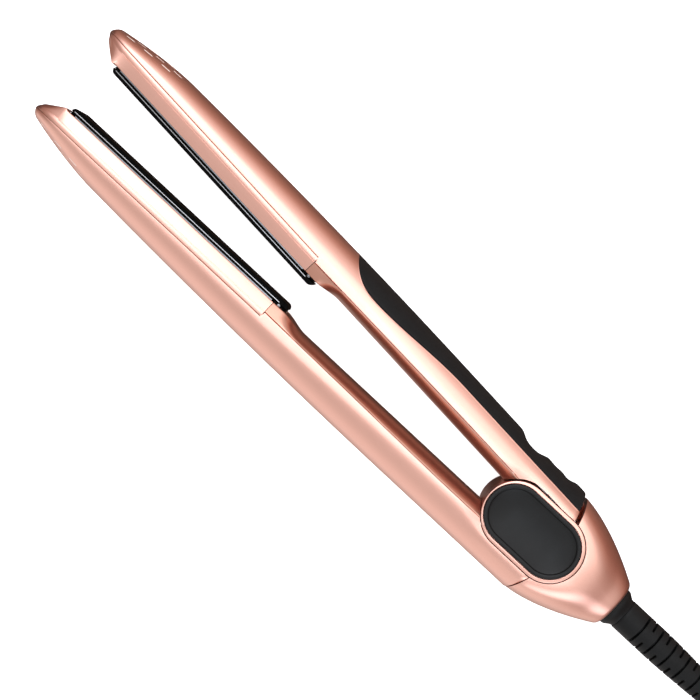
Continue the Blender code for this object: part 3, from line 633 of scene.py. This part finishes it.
def rail_profile(x):
    """(y, z) down the plate frame's side: strip, fine groove, leaning side, rim."""
    width, top = half_width(x), edge_height(x) - SEAM_GAP
    front = NOSE_X - 0.2 * MM
    run = min(1, max(0, (x - CREST_START_X) / (front - CREST_START_X)))
    nose = smoothstep(NOSE_X, TIP_X, x)
    groove = 0.8 * MM * (1.0 - smoothstep(NOSE_X - 2 * MM, NOSE_X, x))
    strip = mix(STRIP_HEIGHT, top - 0.9 * MM, nose)
    points = [(top, width - LIP), (top - 0.07 * MM, width - 0.06 * MM), (top - LIP, width)]
    points += [(strip + 0.4 * MM, width - 0.04 * MM), (strip + 0.15 * MM, width - 0.12 * MM)]
    points += [(strip + 0.1 * MM, width - 0.2 * MM - groove), (strip - 0.25 * MM, width - 0.25 * MM - groove)]
    points += leaning_side(x, strip - 0.3 * MM, facet_height(x), run**3, nose * 2.4 * MM)
    centre = TIP_HEIGHT - SEAM_GAP / 2
    return [(centre + (y - centre) * closing(x), z) for y, z in points]


def mirrored_ring(x, profile, side):
    ring = [(x, side * y, z) for y, z in profile]
    return ring + [(x, side * y, -z) for y, z in reversed(profile)]


def frame_rings(side):
    rear = SEAM_X + SEAM_GAP
    stations = [rear, rear + 0.1 * MM, rear + 0.35 * MM]
    stations += places((134, 205, 18), (208, 234, 26), (234.4, 238, 12), (238.8, 244, 8))
    return [mirrored_ring(x, rail_profile(x), side) for x in stations + nose_places(0.994)]


def handle_profile(x, count):
    """(y, z) down the handle cover's broad bevel to its flat inner face."""
    width, top = half_width(x), edge_height(x) - SEAM_GAP
    points = [(top, width - LIP - 0.05 * MM), (top - 0.08 * MM, width - 0.12 * MM)]
    start, steps = top - LIP, count - 3
    for angle in spread(0, QUARTER, steps):
        y = mix(start, HANDLE_FACE, sin(angle) ** 1.5)
        points.append((y, width - 7.9 * MM + 7.8 * MM * cos(angle) ** 1.5))
    return points


def cover_profile(x):
    """The handle cover's side, which grows into the plate frame's leaning side towards the seam."""
    width, top = half_width(x), edge_height(x) - SEAM_GAP
    rail = [(top, width - LIP - 0.2 * MM), (top - 0.08 * MM, width - 0.3 * MM)]
    rail += leaning_side(x, top - LIP, RIM_HEIGHT, 0.0, 0.0)
    share = smoothstep(SLOPE_START_X, SLOPE_END_X, x)
    pairs = zip(handle_profile(x, len(rail)), rail)
    return [(mix(a[0], b[0], share), mix(a[1], b[1], share)) for a, b in pairs]


def cover_rings(side):
    """Sections of the handle's inner cover, whose inside closes up where it meets the plate frame."""
    rings = []
    for x in places((17, 112, 24), (113, 128, 30)) + [129.5 * MM, SEAM_X - SEAM_GAP]:
        outer, top = cover_profile(x), edge_height(x) - SEAM_GAP
        if x < COVER_HOLLOW_END_X:
            face = HANDLE_FACE + COVER_WALL
            squeeze = (top - 0.03 * MM - face) / (top - HANDLE_FACE)
            inner = [(face + squeeze * (y - HANDLE_FACE), z - COVER_WALL) for y, z in outer]
        else:
            first, last = outer[0][1] - COVER_WALL, outer[-1][1] - COVER_WALL
            inner = [(top - 0.2 * MM, z) for z in spread(first, last, len(outer) - 1)]
        rings.append(mirrored_ring(x, outer, side) + mirrored_ring(x, inner, side)[::-1])
    return rings


# ---- arms


def hub_space(angle):
    """Room for the hub, seen from an arm that has turned by an angle."""
    turn = Matrix.Rotation(angle, 4, "Z")
    return moved(prism(oval(HUB_LOW, HUB_HIGH, -GAP), -30 * MM, 30 * MM), turn)


def vent_slots(side, low_lift, high_lift, inset=0.0):
    """Staggered rows of short slots near the tip, as pills between two depths along the back's normal."""
    pitch, length, width = 8.6 * MM, 4.3 * MM, 0.8 * MM
    outline = stadium(width / 2 - inset, (length - width) / 2, steps=8)
    bm = bmesh.new()
    for row, share in enumerate((-0.5, -0.345, -0.19, 0.0, 0.19, 0.345, 0.5)):
        first_x = (221.7 - 4.3 * (row % 2)) * MM
        for k in range(3):
            centre, ahead, over, normal = back_axes(first_x + k * pitch, share, side)
            middles = [centre + normal * lift for lift in (low_lift, high_lift)]
            add_loft(bm, [[middle + ahead * a + over * b for a, b in outline] for middle in middles])
    return bm


def back_axes(x, share, side):
    """A point on the arm's back with its directions along the arm, over the back and outward."""
    step = 0.001
    points = []
    for along, over in ((0, 0), (-step, 0), (step, 0), (0, -step), (0, step)):
        y, z = on_back(x + along, share + over)
        points.append(Vector((x + along, side * y, z)))
    centre, behind, before, below, above = points
    ahead = (before - behind).normalized()
    over = (above - below).normalized()
    return centre, ahead, over, ahead.cross(over) * -side


def plate_space(side, rear, front, depth, clear):
    """Room for the plate between two places along the arm."""
    half = PLATE_HALF_WIDTH + clear
    return box((rear, side * -1 * MM, -half), (front, side * depth, half))


def make_arm(arm):
    """An arm's back cover with its vents, its inner cover and its plate frame."""
    place, side, body = ARM_PLACE[arm], ARM_SIDE[arm], arm + "_arm"
    parts = [
        ("_back_cover", shell_rings(arm), "rose_gold", "_arm_shell"),
        # The inner cover takes the darker copy of the rose gold, which is painted shade.
        ("_inner_cover", cover_rings(side), "rose_gold_painted_shade", "_handle_cover"),
        ("_frame", frame_rings(side), "rose_gold", "_plate_frame"),
    ]
    shell, cover, rail = [
        add_piece(arm + name, loft(rings), material, place, body, arm + node)
        for name, rings, material, node in parts
    ]
    angles = HUB_ANGLES[arm]
    carve(shell, [*map(hub_space, angles), vent_slots(side, -1.4 * MM, 1.4 * MM)], place)
    rear_space = plate_space(side, PLATE_REAR_X - 0.4 * MM, PLATE_FRONT_X, 7.1 * MM, 0.4 * MM)
    carve(cover, [*map(hub_space, angles), rear_space], place)
    front_x = PLATE_FRONT_X + 0.35 * MM
    carve(rail, [plate_space(side, PLATE_REAR_X - 20 * MM, front_x, 9.4 * MM, 0.35 * MM)], place)
    # Pale screens sit under the slots, a painted highlight for the slots' bright rims.
    screens = vent_slots(side, -1.3 * MM, -0.1 * MM, 0.03 * MM)
    add_piece(arm + "_vent_screens", screens, "painted_highlight_screen", place, body)
    return shell


def rounded_slab(side, x0, x1, y0, y1, half, radius, edge):
    """Sections of a plate with its face at y0, its two ends rounded down and its side edges softened."""
    ends = [(radius * (1 - cos(a)), radius * (1 - sin(a))) for a in spread(0, QUARTER, 8)]
    stations = [(x0 + run, drop) for run, drop in ends]
    stations += [(x, 0.0) for x in spread(x0 + radius + 1 * MM, x1 - radius - 1 * MM, 12)]
    stations += [(x1 - run, drop) for run, drop in reversed(ends)]
    rings = []
    for x, drop in stations:
        low = min(y0 + drop, y1 - 0.15 * MM)
        corner = min(edge, (y1 - low) / 2)
        profile = [(y1, half)]
        for angle in spread(0, QUARTER, 6):
            y = low + corner * (1 - sin(angle))
            profile.append((y, half - corner * (1 - cos(angle))))
        rings.append(mirrored_ring(x, profile, side))
    return rings


# Name, insets of the ends, face and back, extra half width, radius of ends and edges, material, node
PLATE_PARTS = [
    ("_glazed_plate", 0, 0, PLATE_LOW.y / MM, 2.25, 0, 1.9, 0.35, "plate_black", "_heating_plate"),
    ("_edge_line", 4.0, 1.3, 1.72, 2.02, 0.1, 0.3, 0.12, "line_metal", None),
    ("_plate_body", 6.4, 0.1, 2.3, 4.4, 0, 1.6, 0.3, "trim_metal", "_plate_base"),
    ("_plate_seal", 6.4, 0.3, 2.3, 2.95, 0.08, 0.5, 0.15, "plate_black", None),
]


def make_plate(arm):
    """Glazed plate with a bright line along its edge, its dark chrome body, its seal and its rear clip."""
    place, side, body = ARM_PLACE[arm], ARM_SIDE[arm], arm + "_plate"
    rear, half = PLATE_REAR_X, PLATE_HALF_WIDTH
    for name, rear_inset, front_inset, low, high, wider, *radii, material, node in PLATE_PARTS:
        ends = (rear + rear_inset * MM, PLATE_FRONT_X - front_inset * MM)
        sizes = [size * MM for size in (low, high, wider + half / MM, *radii)]
        slab = loft(rounded_slab(side, *ends, *sizes))
        add_piece(arm + name, slab, material, place, body, node and arm + node)
    low, high = (rear + 0.3 * MM, side * 2.35 * MM, -half), (rear + 6.1 * MM, side * 6 * MM, half)
    clip = box(low, high, 0.9 * MM, 5)
    add_piece(arm + "_rear_end_clip", clip, "plate_black", place, body, arm + "_rear_clip")
    for name, angle in (("near", 0.0), ("far", pi)):
        pin = turned(in_metres([(0, 0.12), (0.5, 0.12), (0.7, 0.0), (0.7, -0.3), (0, -0.3)]), 20)
        moved(pin, Matrix.Translation((0, 0, half + 0.02 * MM)))
        spot = Matrix.Translation((rear + 3.4 * MM, side * 3.1 * MM, 0)) @ Matrix.Rotation(angle, 4, "X")
        add_piece(arm + "_clip_pin_" + name, pin, "trim_metal", place @ spot, body)


# ---- grip and buttons


def grip_reach(x):
    if x > GRIP_WIDEST_X:
        t = min(1, (x - GRIP_WIDEST_X) / (GRIP_START_X - GRIP_WIDEST_X))
        return GRIP_SHOULDER * (1.0 - t**2.4) ** (1 / 1.9)
    return mix(GRIP_SHOULDER, GRIP_PLATEAU, smoothstep(GRIP_WIDEST_X, 58 * MM, x))


def thumb_dip(x):
    """Depth of the thumb rest about the power button, less the rise of the grip's rear lip."""
    from_button = (x - BUTTONS["power_button"][0]) / (5.8 * MM)
    return 1.8 * MM * exp(-(from_button**4)) - 1.2 * MM * smoothstep(6 * MM, -1 * MM, x)


def grip_section(x, side, slant, reach, inner_depth, outer_depth, edge_drop=0.0):
    outer, inner = [], []
    for share in map(sin, spread(QUARTER, -QUARTER, 40)):
        drop = edge_drop * max(0, (abs(share) - 0.93) / 0.07) ** 2
        for line, depth in ((outer, outer_depth * (1 - share**2) + drop), (inner, inner_depth)):
            y, z = on_back(x, reach * share, depth)
            line.append((slanted(x, y, slant), side * y, z))
    return outer + inner[::-1]


def grip_rings(side):
    rear, front = GRIP_REAR_X, 121.62 * MM
    rounding = {rear: 0.45 * MM, rear + 0.15 * MM: 0.12 * MM, front: 0.2 * MM}
    stations = [rear, rear + 0.15 * MM, rear + 0.5 * MM, *spread(rear + 1.5 * MM, 40 * MM, 40)]
    stations += places((42, 104, 30), (105, 119, 14))
    stations += [x * MM for x in (119.6, 120.1, 120.6, 121.0, 121.3, 121.5)] + [front]
    rings = []
    for x in stations:
        outer = thumb_dip(x) + rounding.get(x, 0.0)
        rings.append(grip_section(x, side, end_slant(rear, x), grip_reach(x), GRIP_DEPTH, outer, 0.35 * MM))
    return rings


def grip_bed(side):
    """Room for the grip in the cover."""
    stations = [-30 * MM, -12 * MM, *spread(GRIP_REAR_X, 104 * MM, 44), *places((105, 119, 14))]
    stations += [x * MM for x in (119.6, 120.2, 120.8, 121.3, 121.7, 122.0)]
    rings = []
    for x in stations:
        near = min(max(x, GRIP_REAR_X), GRIP_START_X - 0.1 * MM)
        rings.append(grip_section(x, side, 0.0, grip_reach(near) + 0.02, GRIP_DEPTH + GAP, -4 * MM))
    return loft(rings)


def grip_border(side):
    """The bright rounded edge that the cover keeps round the grip."""
    stations = spread(GRIP_REAR_X + 1 * MM, 104 * MM, 50) + places((105, 119, 20))
    stations += [x * MM for x in (119.6, 120.2, 120.8, 121.2, 121.6, 121.9, 122.1)]
    border = []
    for x, edge in [(x, 1) for x in stations] + [(x, -1) for x in reversed(stations)]:
        reach = grip_reach(min(x, GRIP_START_X - 0.02 * MM)) + 0.032
        y, z = on_back(x, edge * reach, 0.05 * MM)
        border.append(Vector((slanted(x, y, end_slant(GRIP_REAR_X, x)), side * y, z)))
    return border


def button_place(side, x):
    return Matrix.Translation((x, side * BUTTON_FOOT, 0.0)) @ Matrix.Rotation(side * -QUARTER, 4, "X")


def button_wells(side):
    profile = in_metres([(0, 7), (3.7, 7), (3.7, -5), (0, -5)])
    return [moved(turned(profile, 48), button_place(side, x)) for x, top in BUTTONS.values()]


def make_grip(shell):
    """The soft grip in its bed, the border round it and the three buttons."""
    place, side = ARM_PLACE["moving"], ARM_SIDE["moving"]
    grip = add_piece("grip_skin", loft(grip_rings(side)), "soft_black", place, "moving_arm", "soft_grip")
    carve(grip, button_wells(side), place)
    carve(shell, [grip_bed(side), *button_wells(side)], place)
    route = [place @ point for point in grip_border(side)]
    tube("grip_border", route, 0.22 * MM, "rose_gold", "moving_arm", 3)
    for name, (x, top) in BUTTONS.items():
        height, edge = (top - BUTTON_FOOT) / MM, BUTTON_RADIUS / MM
        profile = [(0, height - 0.35), (0.9, height - 0.32), (1.3, height - 0.12), (1.6, height)]
        profile += [(2.2, height - 0.02), (edge - 0.6, height - 0.2), (edge - 0.2, height - 0.42)]
        profile += [(edge, height - 0.8), (edge, 0), (0, 0)]
        key = turned(in_metres(profile), 48)
        body = name.replace("button", "key")
        add_piece(name + "_cap", key, "soft_black", place @ button_place(side, x), body, name)


# ---- hinge and tail


def dished_cap(side):
    """Sections of a hinge cap: a rounded rim, a step, and a shallow dish."""
    depth, centre = (MID_HEIGHT - CAP_INNER_Z) / MM, CAP_HIGH.y / MM - 0.2
    shape = [(0, 0), (0, depth - 0.5), (0.06, depth - 0.25), (0.2, depth - 0.08), (0.5, depth)]
    shape += [(1.3, depth - 0.02), (1.6, depth - 0.15), (1.8, depth - 0.45), (2.0, depth - 0.75)]
    for t in spread(0, 1, 8):
        shape.append((mix(2.4, centre, t), depth - 0.9 - 1.1 * sin(QUARTER * t)))
    rings = [(oval(CAP_LOW, CAP_HIGH, inset), side * (CAP_INNER_Z + z)) for inset, z in in_metres(shape)]
    return [[(x, y, z) for x, y in outline] for outline, z in rings]


def hub_rings():
    """The hub's outer wall with rounded rims."""
    high = HUB_TOP / MM
    shape = in_metres([(0.35, high), (0.1, high - 0.1), (0, high - 0.35)])
    shape += [(inset, -height) for inset, height in reversed(shape)]
    return [[(x, y, z) for x, y in oval(HUB_LOW, HUB_HIGH, inset)] for inset, z in shape]


def make_hinge():
    """The hub, open at its front for the moving arm's knuckle, and its two caps."""
    place = HINGE_PLACE
    hub = add_piece("hub_body", loft(hub_rings()), "rose_gold", place, "fixed_arm", "hinge_hub")
    recess, inside = oval(CAP_LOW, CAP_HIGH, -GAP), oval(HUB_LOW, HUB_HIGH, 1.95 * MM)
    mouth = in_metres([(-8, 0), (8, 0), (8, -20), (-8, -20)])
    cuts = [(recess, 11.4, 20), (recess, -20, -11.4), (inside, -9, 9), (mouth, -9, 9)]
    carve(hub, [prism(outline, low * MM, high * MM) for outline, low, high in cuts], place)
    for name, side in (("upper", 1), ("lower", -1)):
        cap = loft(dished_cap(side))
        add_piece(name + "_cap", cap, "cap_black", place, "fixed_arm", name + "_hinge_cap")


def tail_section(x, inset):
    share = min(1, max(0, (TAIL_FRONT_X - x) / (TAIL_FRONT_X - TAIL_END_X)))
    edge = mix(HANDLE_EDGE, TAIL_FLAT, 1 - (1 - share) ** 1.5)
    width = mix(ARM_HALF_WIDTH, TAIL_END_HALF_WIDTH, share**1.6) - inset
    run = max(0, (TAIL_CURVE_X - x) / MM)
    height = TAIL_HEIGHT - TAIL_CURVE * run**TAIL_POWER * MM - inset
    ring = []
    for side in (1, -1):
        for turn in spread(0, pi, 40):
            angle = pi * (1 - cos(turn)) / 2
            y = edge + (height - edge) * abs(sin(angle)) ** (2 / ROUNDNESS)
            z = width * signed_power(cos(angle), 2 / ROUNDNESS)
            ring.append((x, side * y, side * flush_with_hub(x, y, z, width, 16 * MM, HUB_TOP - inset)))
    return ring


def tail_front_space():
    """Room in front of the tail: the hub's round end, and the seam slanting away from it."""
    radius, far = HUB_HIGH.y + GAP, 30 * MM
    centre_x = HUB_LOW.x + HUB_HIGH.y
    start = acos((TAIL_FRONT_X - centre_x) / radius)
    turn = spread(start, 2 * pi - start, 64)
    outline = [(radius * cos(angle) + centre_x, radius * sin(angle)) for angle in turn]
    seam_x = TAIL_FRONT_X + END_SLANT * (far - END_HEIGHT)
    outline += [(seam_x, -far), (far, -far), (far, far), (seam_x, far)]
    return prism(outline, -far, far)


def make_tail():
    rounding = in_metres([(0, 1.1), (0.12, 0.7), (0.4, 0.33), (0.9, 0.08), (1.5, 0)])
    rings = [tail_section(TAIL_END_X + run, inset) for run, inset in rounding]
    rings += [tail_section(x, 0.0) for x in spread(TAIL_END_X + 3 * MM, 2 * MM, 34)]
    rings += [tail_section(x, TAIL_WALL) for x in places((2, -38.6, 20))]
    tail = add_piece("tail_shell", loft(rings), "rose_gold", HINGE_PLACE, "fixed_arm", "tail_housing")
    opening = turned(in_metres([(0, 10), (8.3, 10), (8.3, -10), (0, -10)]))
    moved(opening, Matrix.Translation((TAIL_END_X, 0, 0)) @ LAID_BACK)
    carve(tail, [tail_front_space(), opening], HINGE_PLACE)


def relief_notch(run, core, middle):
    """A slice of a ring about the x axis, from the strain relief's core outward."""
    half_angle, half_thickness = radians(64), 0.5 * MM
    outline = []
    for radius, order in ((9 * MM, 1), (core, -1)):
        for angle in spread(middle - order * half_angle, middle + order * half_angle, 20):
            outline.append((radius * cos(angle), radius * sin(angle)))
    return loft([[(run + shift, y, z) for y, z in outline] for shift in (-half_thickness, half_thickness)])


def relief_radius(run):
    return mix(SLEEVE_RADIUS, 4.7 * MM, smoothstep(20 * MM, 66 * MM, run))


def relief_notches(end):
    """Pairs of slots down the strain relief, each pair a quarter turn from the last."""
    turn = LAID_BACK.inverted() @ Matrix.Scale(-1, 4, (1, 0, 0))
    notches = []
    for k in range(14):
        run = 13.6 * MM + k * RELIEF_PITCH / 2
        if run < end - 2 * MM:
            core = (3.9 - 0.6 * smoothstep(0, end, run)) * MM
            first = 0.0 if k % 2 else QUARTER
            for middle in (first, first + pi):
                notches.append(moved(relief_notch(run, core, middle), turn))
    return notches


def make_swivel():
    """The collar in the tail's end and the strain relief, which turn together."""
    along = Matrix.Translation((TAIL_END_X, 0.0, MID_HEIGHT)) @ LAID_BACK
    body = "cord_swivel_body"
    collar = [(0, 5), (6.2, 5), (6.3, 4.5), (6.6, 3.8), (7.1, 3.1), (7.6, 2.4), (7.9, 1.8), (8, 1.2)]
    collar += [(8, -6.6), (8.7, -6.6), (8.7, -8.4), (4, -8.4), (4, -15), (0, -15)]
    add_piece("collar_ring", turned(in_metres(collar)), "cord_black", along, body, "swivel_collar")
    end = TAIL_END_X - RELIEF_END_X
    profile = [(0, end), (relief_radius(end) - 0.4 * MM, end), (relief_radius(end), end - 0.4 * MM)]
    profile += [(relief_radius(run), run) for run in spread(end - 1 * MM, 5.6 * MM, 60)]
    profile += [(SLEEVE_RADIUS - 0.15 * MM, 5.2 * MM), (0, 5.1 * MM)]
    relief = add_piece("ribbed_relief", turned(profile, 72), "cord_black", along, body, "strain_relief")
    carve(relief, relief_notches(end), along)


# ---- cord


def hank_point(run, radius, height):
    """A point on the hank's oval at a share of one turn, from the start of its first straight side."""
    straight = 2 * HANK_HALF_STRAIGHT
    second_half, place = divmod((run % 1.0) * 2 * (straight + HANK_BEND), straight + HANK_BEND)
    side = -1 if second_half else 1
    angle = QUARTER + pi * max(0, place - straight) / HANK_BEND
    x = HANK_HALF_STRAIGHT - min(place, straight) + radius * cos(angle)
    return HANK_CENTRE + Vector((side * x, side * radius * sin(angle), height))


def hank_turns():
    """Five and a half turns; each moves on to the next one's place along the last bend, one after another."""
    steps, half = 64, 2 * HANK_HALF_STRAIGHT + HANK_BEND
    bend_start = 1 - HANK_BEND / (2 * half)
    window = (1 - bend_start) / 2
    points = []
    for turn, slot in enumerate(HANK_SLOTS):
        last = turn == len(HANK_SLOTS) - 1
        start = bend_start + (1 - bend_start - window) * (4 - turn) / 4
        count = round(steps * (1 - HANK_BEND / (2 * half))) if last else steps
        following = slot if last else HANK_SLOTS[turn + 1]
        for i in range(count):
            share = smoothstep(start, start + window, i / steps)
            radius, height = [mix(now, then, share) * MM for now, then in zip(slot, following)]
            points.append(hank_point(i / steps, radius, height))
    return points


def make_cord():
    lead, end = [smooth_route([Vector(p) * MM for p in route], 6 * MM) for route in (LEAD_ROUTE, END_ROUTE)]
    nodes = ["cord_lead", "cord_hank", "cord_end"]
    return tube("mains_cord", lead + hank_turns() + end, CORD_RADIUS, "cord_black", "fixed_arm", 8, nodes)


def strap_ring(x, offset):
    """A rounded band outline round the hank, in y and z, that sags a little between its two runs."""
    low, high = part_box("cord_tie")
    half_y, half_z = (high.y - low.y) / 2 - offset, (high.z - low.z) / 2 - offset
    middle = (low + high) / 2
    ring = []
    for angle in full_turn(96):
        y = signed_power(cos(angle), 0.35) * half_y
        z = signed_power(sin(angle), 0.35) * half_z
        if z > 0 and abs(y) < 0.5 * half_y:
            z -= 1.4 * MM * cos(QUARTER * y / (0.5 * half_y))
        ring.append((x, middle.y + y, middle.z + z))
    return ring


def make_strap():
    """A closed band with rounded edges, one millimetre thick."""
    low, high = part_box("cord_tie")
    rounding = [(0.0, 0.35), (0.1, 0.1), (0.4, 0.0)]
    outer = [(low.x + run * MM, inset * MM) for run, inset in rounding]
    outer += [(high.x - run * MM, inset * MM) for run, inset in reversed(rounding)]
    inner = [(x, 1 * MM) for x, inset in reversed(outer)]
    bm = bmesh.new()
    add_rows(bm, [strap_ring(x, depth) for x, depth in outer + inner], closed=True)
    return add_piece("hook_and_loop_strap", bm, "strap", AS_DRAWN, "fixed_arm", "cord_tie")


def plug_rings():
    """Sections of the plug's moulding: runs in millimetres, with shares of its width and height."""
    low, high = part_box("plug_body")
    middle, half = (low + high) / 2, (high - low) / 2
    shape = [(0.0, 0.3, 0.56), (0.4, 0.36, 0.62), (6.0, 0.42, 0.72), (9.0, 0.56, 0.82), (12.0, 0.82, 0.95)]
    shape += [(15.0, 0.94, 0.995), (18.0, 0.97, 1.0), (20.0, 0.93, 0.96), (22.0, 0.97, 1.0), (29.5, 1.0, 1.0)]
    shape += [(30.8, 0.985, 0.98), (31.4, 0.96, 0.95), (31.7, 0.92, 0.9)]
    rings = []
    for run, wide, tall in smooth_route(shape, 0.8):
        ring = []
        for angle in full_turn(64):
            y = signed_power(cos(angle), 0.6) * half.y * min(wide, 1.0)
            z = signed_power(sin(angle), 0.6) * half.z * min(tall, 1.0)
            ring.append((low.x + run * MM, middle.y + y, middle.z + z))
        rings.append(ring)
    return rings


def make_plug():
    body = loft(plug_rings())
    pieces = [add_piece("plug_moulding", body, "cord_black", AS_DRAWN, "fixed_arm", "plug_body")]
    for node in ("plug_blade_near", "plug_blade_far"):
        low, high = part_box(node)
        blade = add_piece(node + "_metal", box(low, high, 0.3 * MM, 2), "brass", AS_DRAWN, "fixed_arm", node)
        hole = turned(in_metres([(0, 3), (1.5, 3), (1.5, -3), (0, -3)]), 32)
        centre = Vector((high.x - 4.5 * MM, (low.y + high.y) / 2, (low.z + high.z) / 2))
        carve(blade, [hole], Matrix.Translation(centre) @ Matrix.Rotation(QUARTER, 4, "X"))
        pieces.append(blade)
    return pieces


# ---- studio


def make_studio():
    scene = bpy.context.scene
    scene.view_settings.view_transform = "Standard"
    bm = bmesh.new()
    bmesh.ops.create_grid(bm, x_segments=1, y_segments=1, size=3.0)
    mesh = bpy.data.meshes.new("floor")
    bm.to_mesh(mesh)
    bm.free()
    material, tree, shader = new_material("pale_floor")
    feed(shader, {"Base Color": (0.93, 0.93, 0.93, 1.0), "Roughness": 0.9})
    feed(shader, {"Emission Color": (1.0, 1.0, 1.0, 1.0), "Emission Strength": 0.85})
    mesh.materials.append(material)
    floor = bpy.data.objects.new("floor", mesh)
    floor.location.z = -0.2 * MM
    floor.visible_glossy = False
    link(floor)
    make_overhead_light()
    make_world(scene)


def make_overhead_light():
    data = bpy.data.lights.new("overhead", "AREA")
    data.shape = "RECTANGLE"
    data.size, data.size_y = 1.2, 0.7
    data.energy = 2.0
    light = bpy.data.objects.new("overhead", data)
    light.location = (0.08, -0.45, 0.95)
    aim = Vector((0.08, 0.0, 0.0)) - light.location
    light.rotation_euler = aim.to_track_quat("-Z", "Y").to_euler()
    link(light)


SURROUNDINGS = [  # angle about the iron's length, 0 overhead and positive to the fixed arm's side; colour
    (-180, 0.015, 0.01, 0.008),
    (-165, 0.05, 0.03, 0.02),
    (-150, 0.15, 0.08, 0.06),
    (-135, 0.24, 0.13, 0.09),
    (-118, 0.34, 0.19, 0.14),
    (-105, 0.48, 0.3, 0.24),
    (-92, 0.68, 0.48, 0.42),
    (-80, 0.88, 0.77, 0.73),
    (-67, 1.02, 0.97, 0.96),
    (-54, 1.0, 0.98, 0.98),
    (-38, 0.88, 0.87, 0.87),
    (-14, 1.02, 1.01, 1.0),
    (2, 0.92, 0.91, 0.9),
    (14, 0.82, 0.81, 0.8),
    (26, 0.72, 0.71, 0.7),
    (45, 0.67, 0.66, 0.65),
    (62, 0.75, 0.74, 0.73),
    (82, 0.88, 0.87, 0.86),
    (102, 1.0, 0.98, 0.97),
    (126, 0.98, 0.94, 0.92),
    (150, 0.55, 0.48, 0.45),
    (180, 0.015, 0.01, 0.008),
]
WORLD_STRENGTH = 1.2
# Strength, then the angles where it starts, is full, fades and ends, and the same places along the iron
SOFT_BOXES = [
    (2.8, (-15, -6, 8, 20), (-0.17, -0.115, 0.03, 0.1)),
    (1.8, (-62, -44, -14, -4), (0.02, 0.13, 0.6, 0.9)),
    (1.8, (12, 30, 52, 76), (-0.95, -0.75, -0.45, -0.26)),
]


def make_world(scene):
    """A studio that changes about the iron's length, with soft boxes over parts of it."""
    world = bpy.data.worlds.new("studio")
    scene.world = world
    world.use_nodes = True
    tree = world.node_tree
    direction = tree.nodes.new("ShaderNodeTexCoord").outputs["Generated"]
    parts = add_node(tree, "ShaderNodeSeparateXYZ", {"Vector": direction}).outputs
    along, angle = parts["X"], calculate(tree, "ARCTAN2", parts["Y"], parts["Z"])
    inputs = {"From Min": -pi, "From Max": pi, "Value": angle}
    span = add_node(tree, "ShaderNodeMapRange", inputs)
    ramp = add_node(tree, "ShaderNodeValToRGB", {"Fac": span.outputs["Result"]})
    elements = ramp.color_ramp.elements
    while len(elements) < len(SURROUNDINGS):
        elements.new(0.5)
    for element, (degrees, *colour) in zip(elements, SURROUNDINGS):
        element.position = (degrees + 180) / 360
        element.color = (*(value / WORLD_STRENGTH for value in colour), 1.0)
    ends = ease(tree, calculate(tree, "ABSOLUTE", along), 0.45, 0.95)
    colour = darken(tree, ramp.outputs["Color"], ends, (0.42, 0.3, 0.26))
    colour = darken(tree, colour, rear_share(tree, along, angle), (0.72, 0.58, 0.52))
    background = tree.nodes["Background"]
    feed(background, {"Color": colour, "Strength": WORLD_STRENGTH})
    inputs = {"Color": (0.9, 1.0, 1.12, 1.0), "Strength": soft_boxes(tree, angle, along)}
    boxes = add_node(tree, "ShaderNodeBackground", inputs)
    both = {0: background.outputs["Background"], 1: boxes.outputs["Background"]}
    total = add_node(tree, "ShaderNodeAddShader", both)
    feed(tree.nodes["World Output"], {"Surface": total.outputs["Shader"]})


def ease(tree, value, start, end):
    """0 at the start and 1 at the end of a range, which may run down, with a soft change between them."""
    inputs = {"Value": value, "From Min": start, "From Max": end}
    node = add_node(tree, "ShaderNodeMapRange", inputs)
    node.interpolation_type = "SMOOTHSTEP"
    return node.outputs["Result"]


def window(tree, value, start, full, fade, end):
    return calculate(tree, "MULTIPLY", ease(tree, value, start, full), ease(tree, value, end, fade))


def soft_boxes(tree, angle, along):
    total = None
    for strength, turn, reach in SOFT_BOXES:
        box = window(tree, angle, *(radians(value) for value in turn))
        box = calculate(tree, "MULTIPLY", box, window(tree, along, *reach))
        box = calculate(tree, "MULTIPLY", box, strength)
        total = box if total is None else calculate(tree, "ADD", total, box)
    return total


def rear_share(tree, along, angle):
    """The dim side of the studio behind the hinge."""
    far = ease(tree, along, -0.2, -0.5)
    side = ease(tree, angle, radians(-30), radians(-65))
    return calculate(tree, "MULTIPLY", far, side)


def darken(tree, colour, share, factor):
    """The colour times a factor, by a share; the mix node's sockets go by their places."""
    blend = tree.nodes.new("ShaderNodeMix")
    blend.data_type = "RGBA"
    blend.blend_type = "MULTIPLY"
    feed(blend, {0: share, 6: colour, 7: (*factor, 1.0)})
    return blend.outputs[2]


# ---- build

MATERIALS = make_materials()
make_camera()
make_studio()

cord = make_cord()
strap = make_strap()
plug = make_plug()

shells = {arm: make_arm(arm) for arm in ARM_PLACE}
make_grip(shells["moving"])
for arm_name in ARM_PLACE:
    make_plate(arm_name)
make_hinge()
make_tail()
make_swivel()

SLOTS = {part["node"]: part["material_slot"] for part in frame["record"]["subparts"]}
for node_name, node in frame["nodes"].items():
    node.data.materials.clear()
    node.data.materials.append(MATERIALS[SLOTS[node_name]])
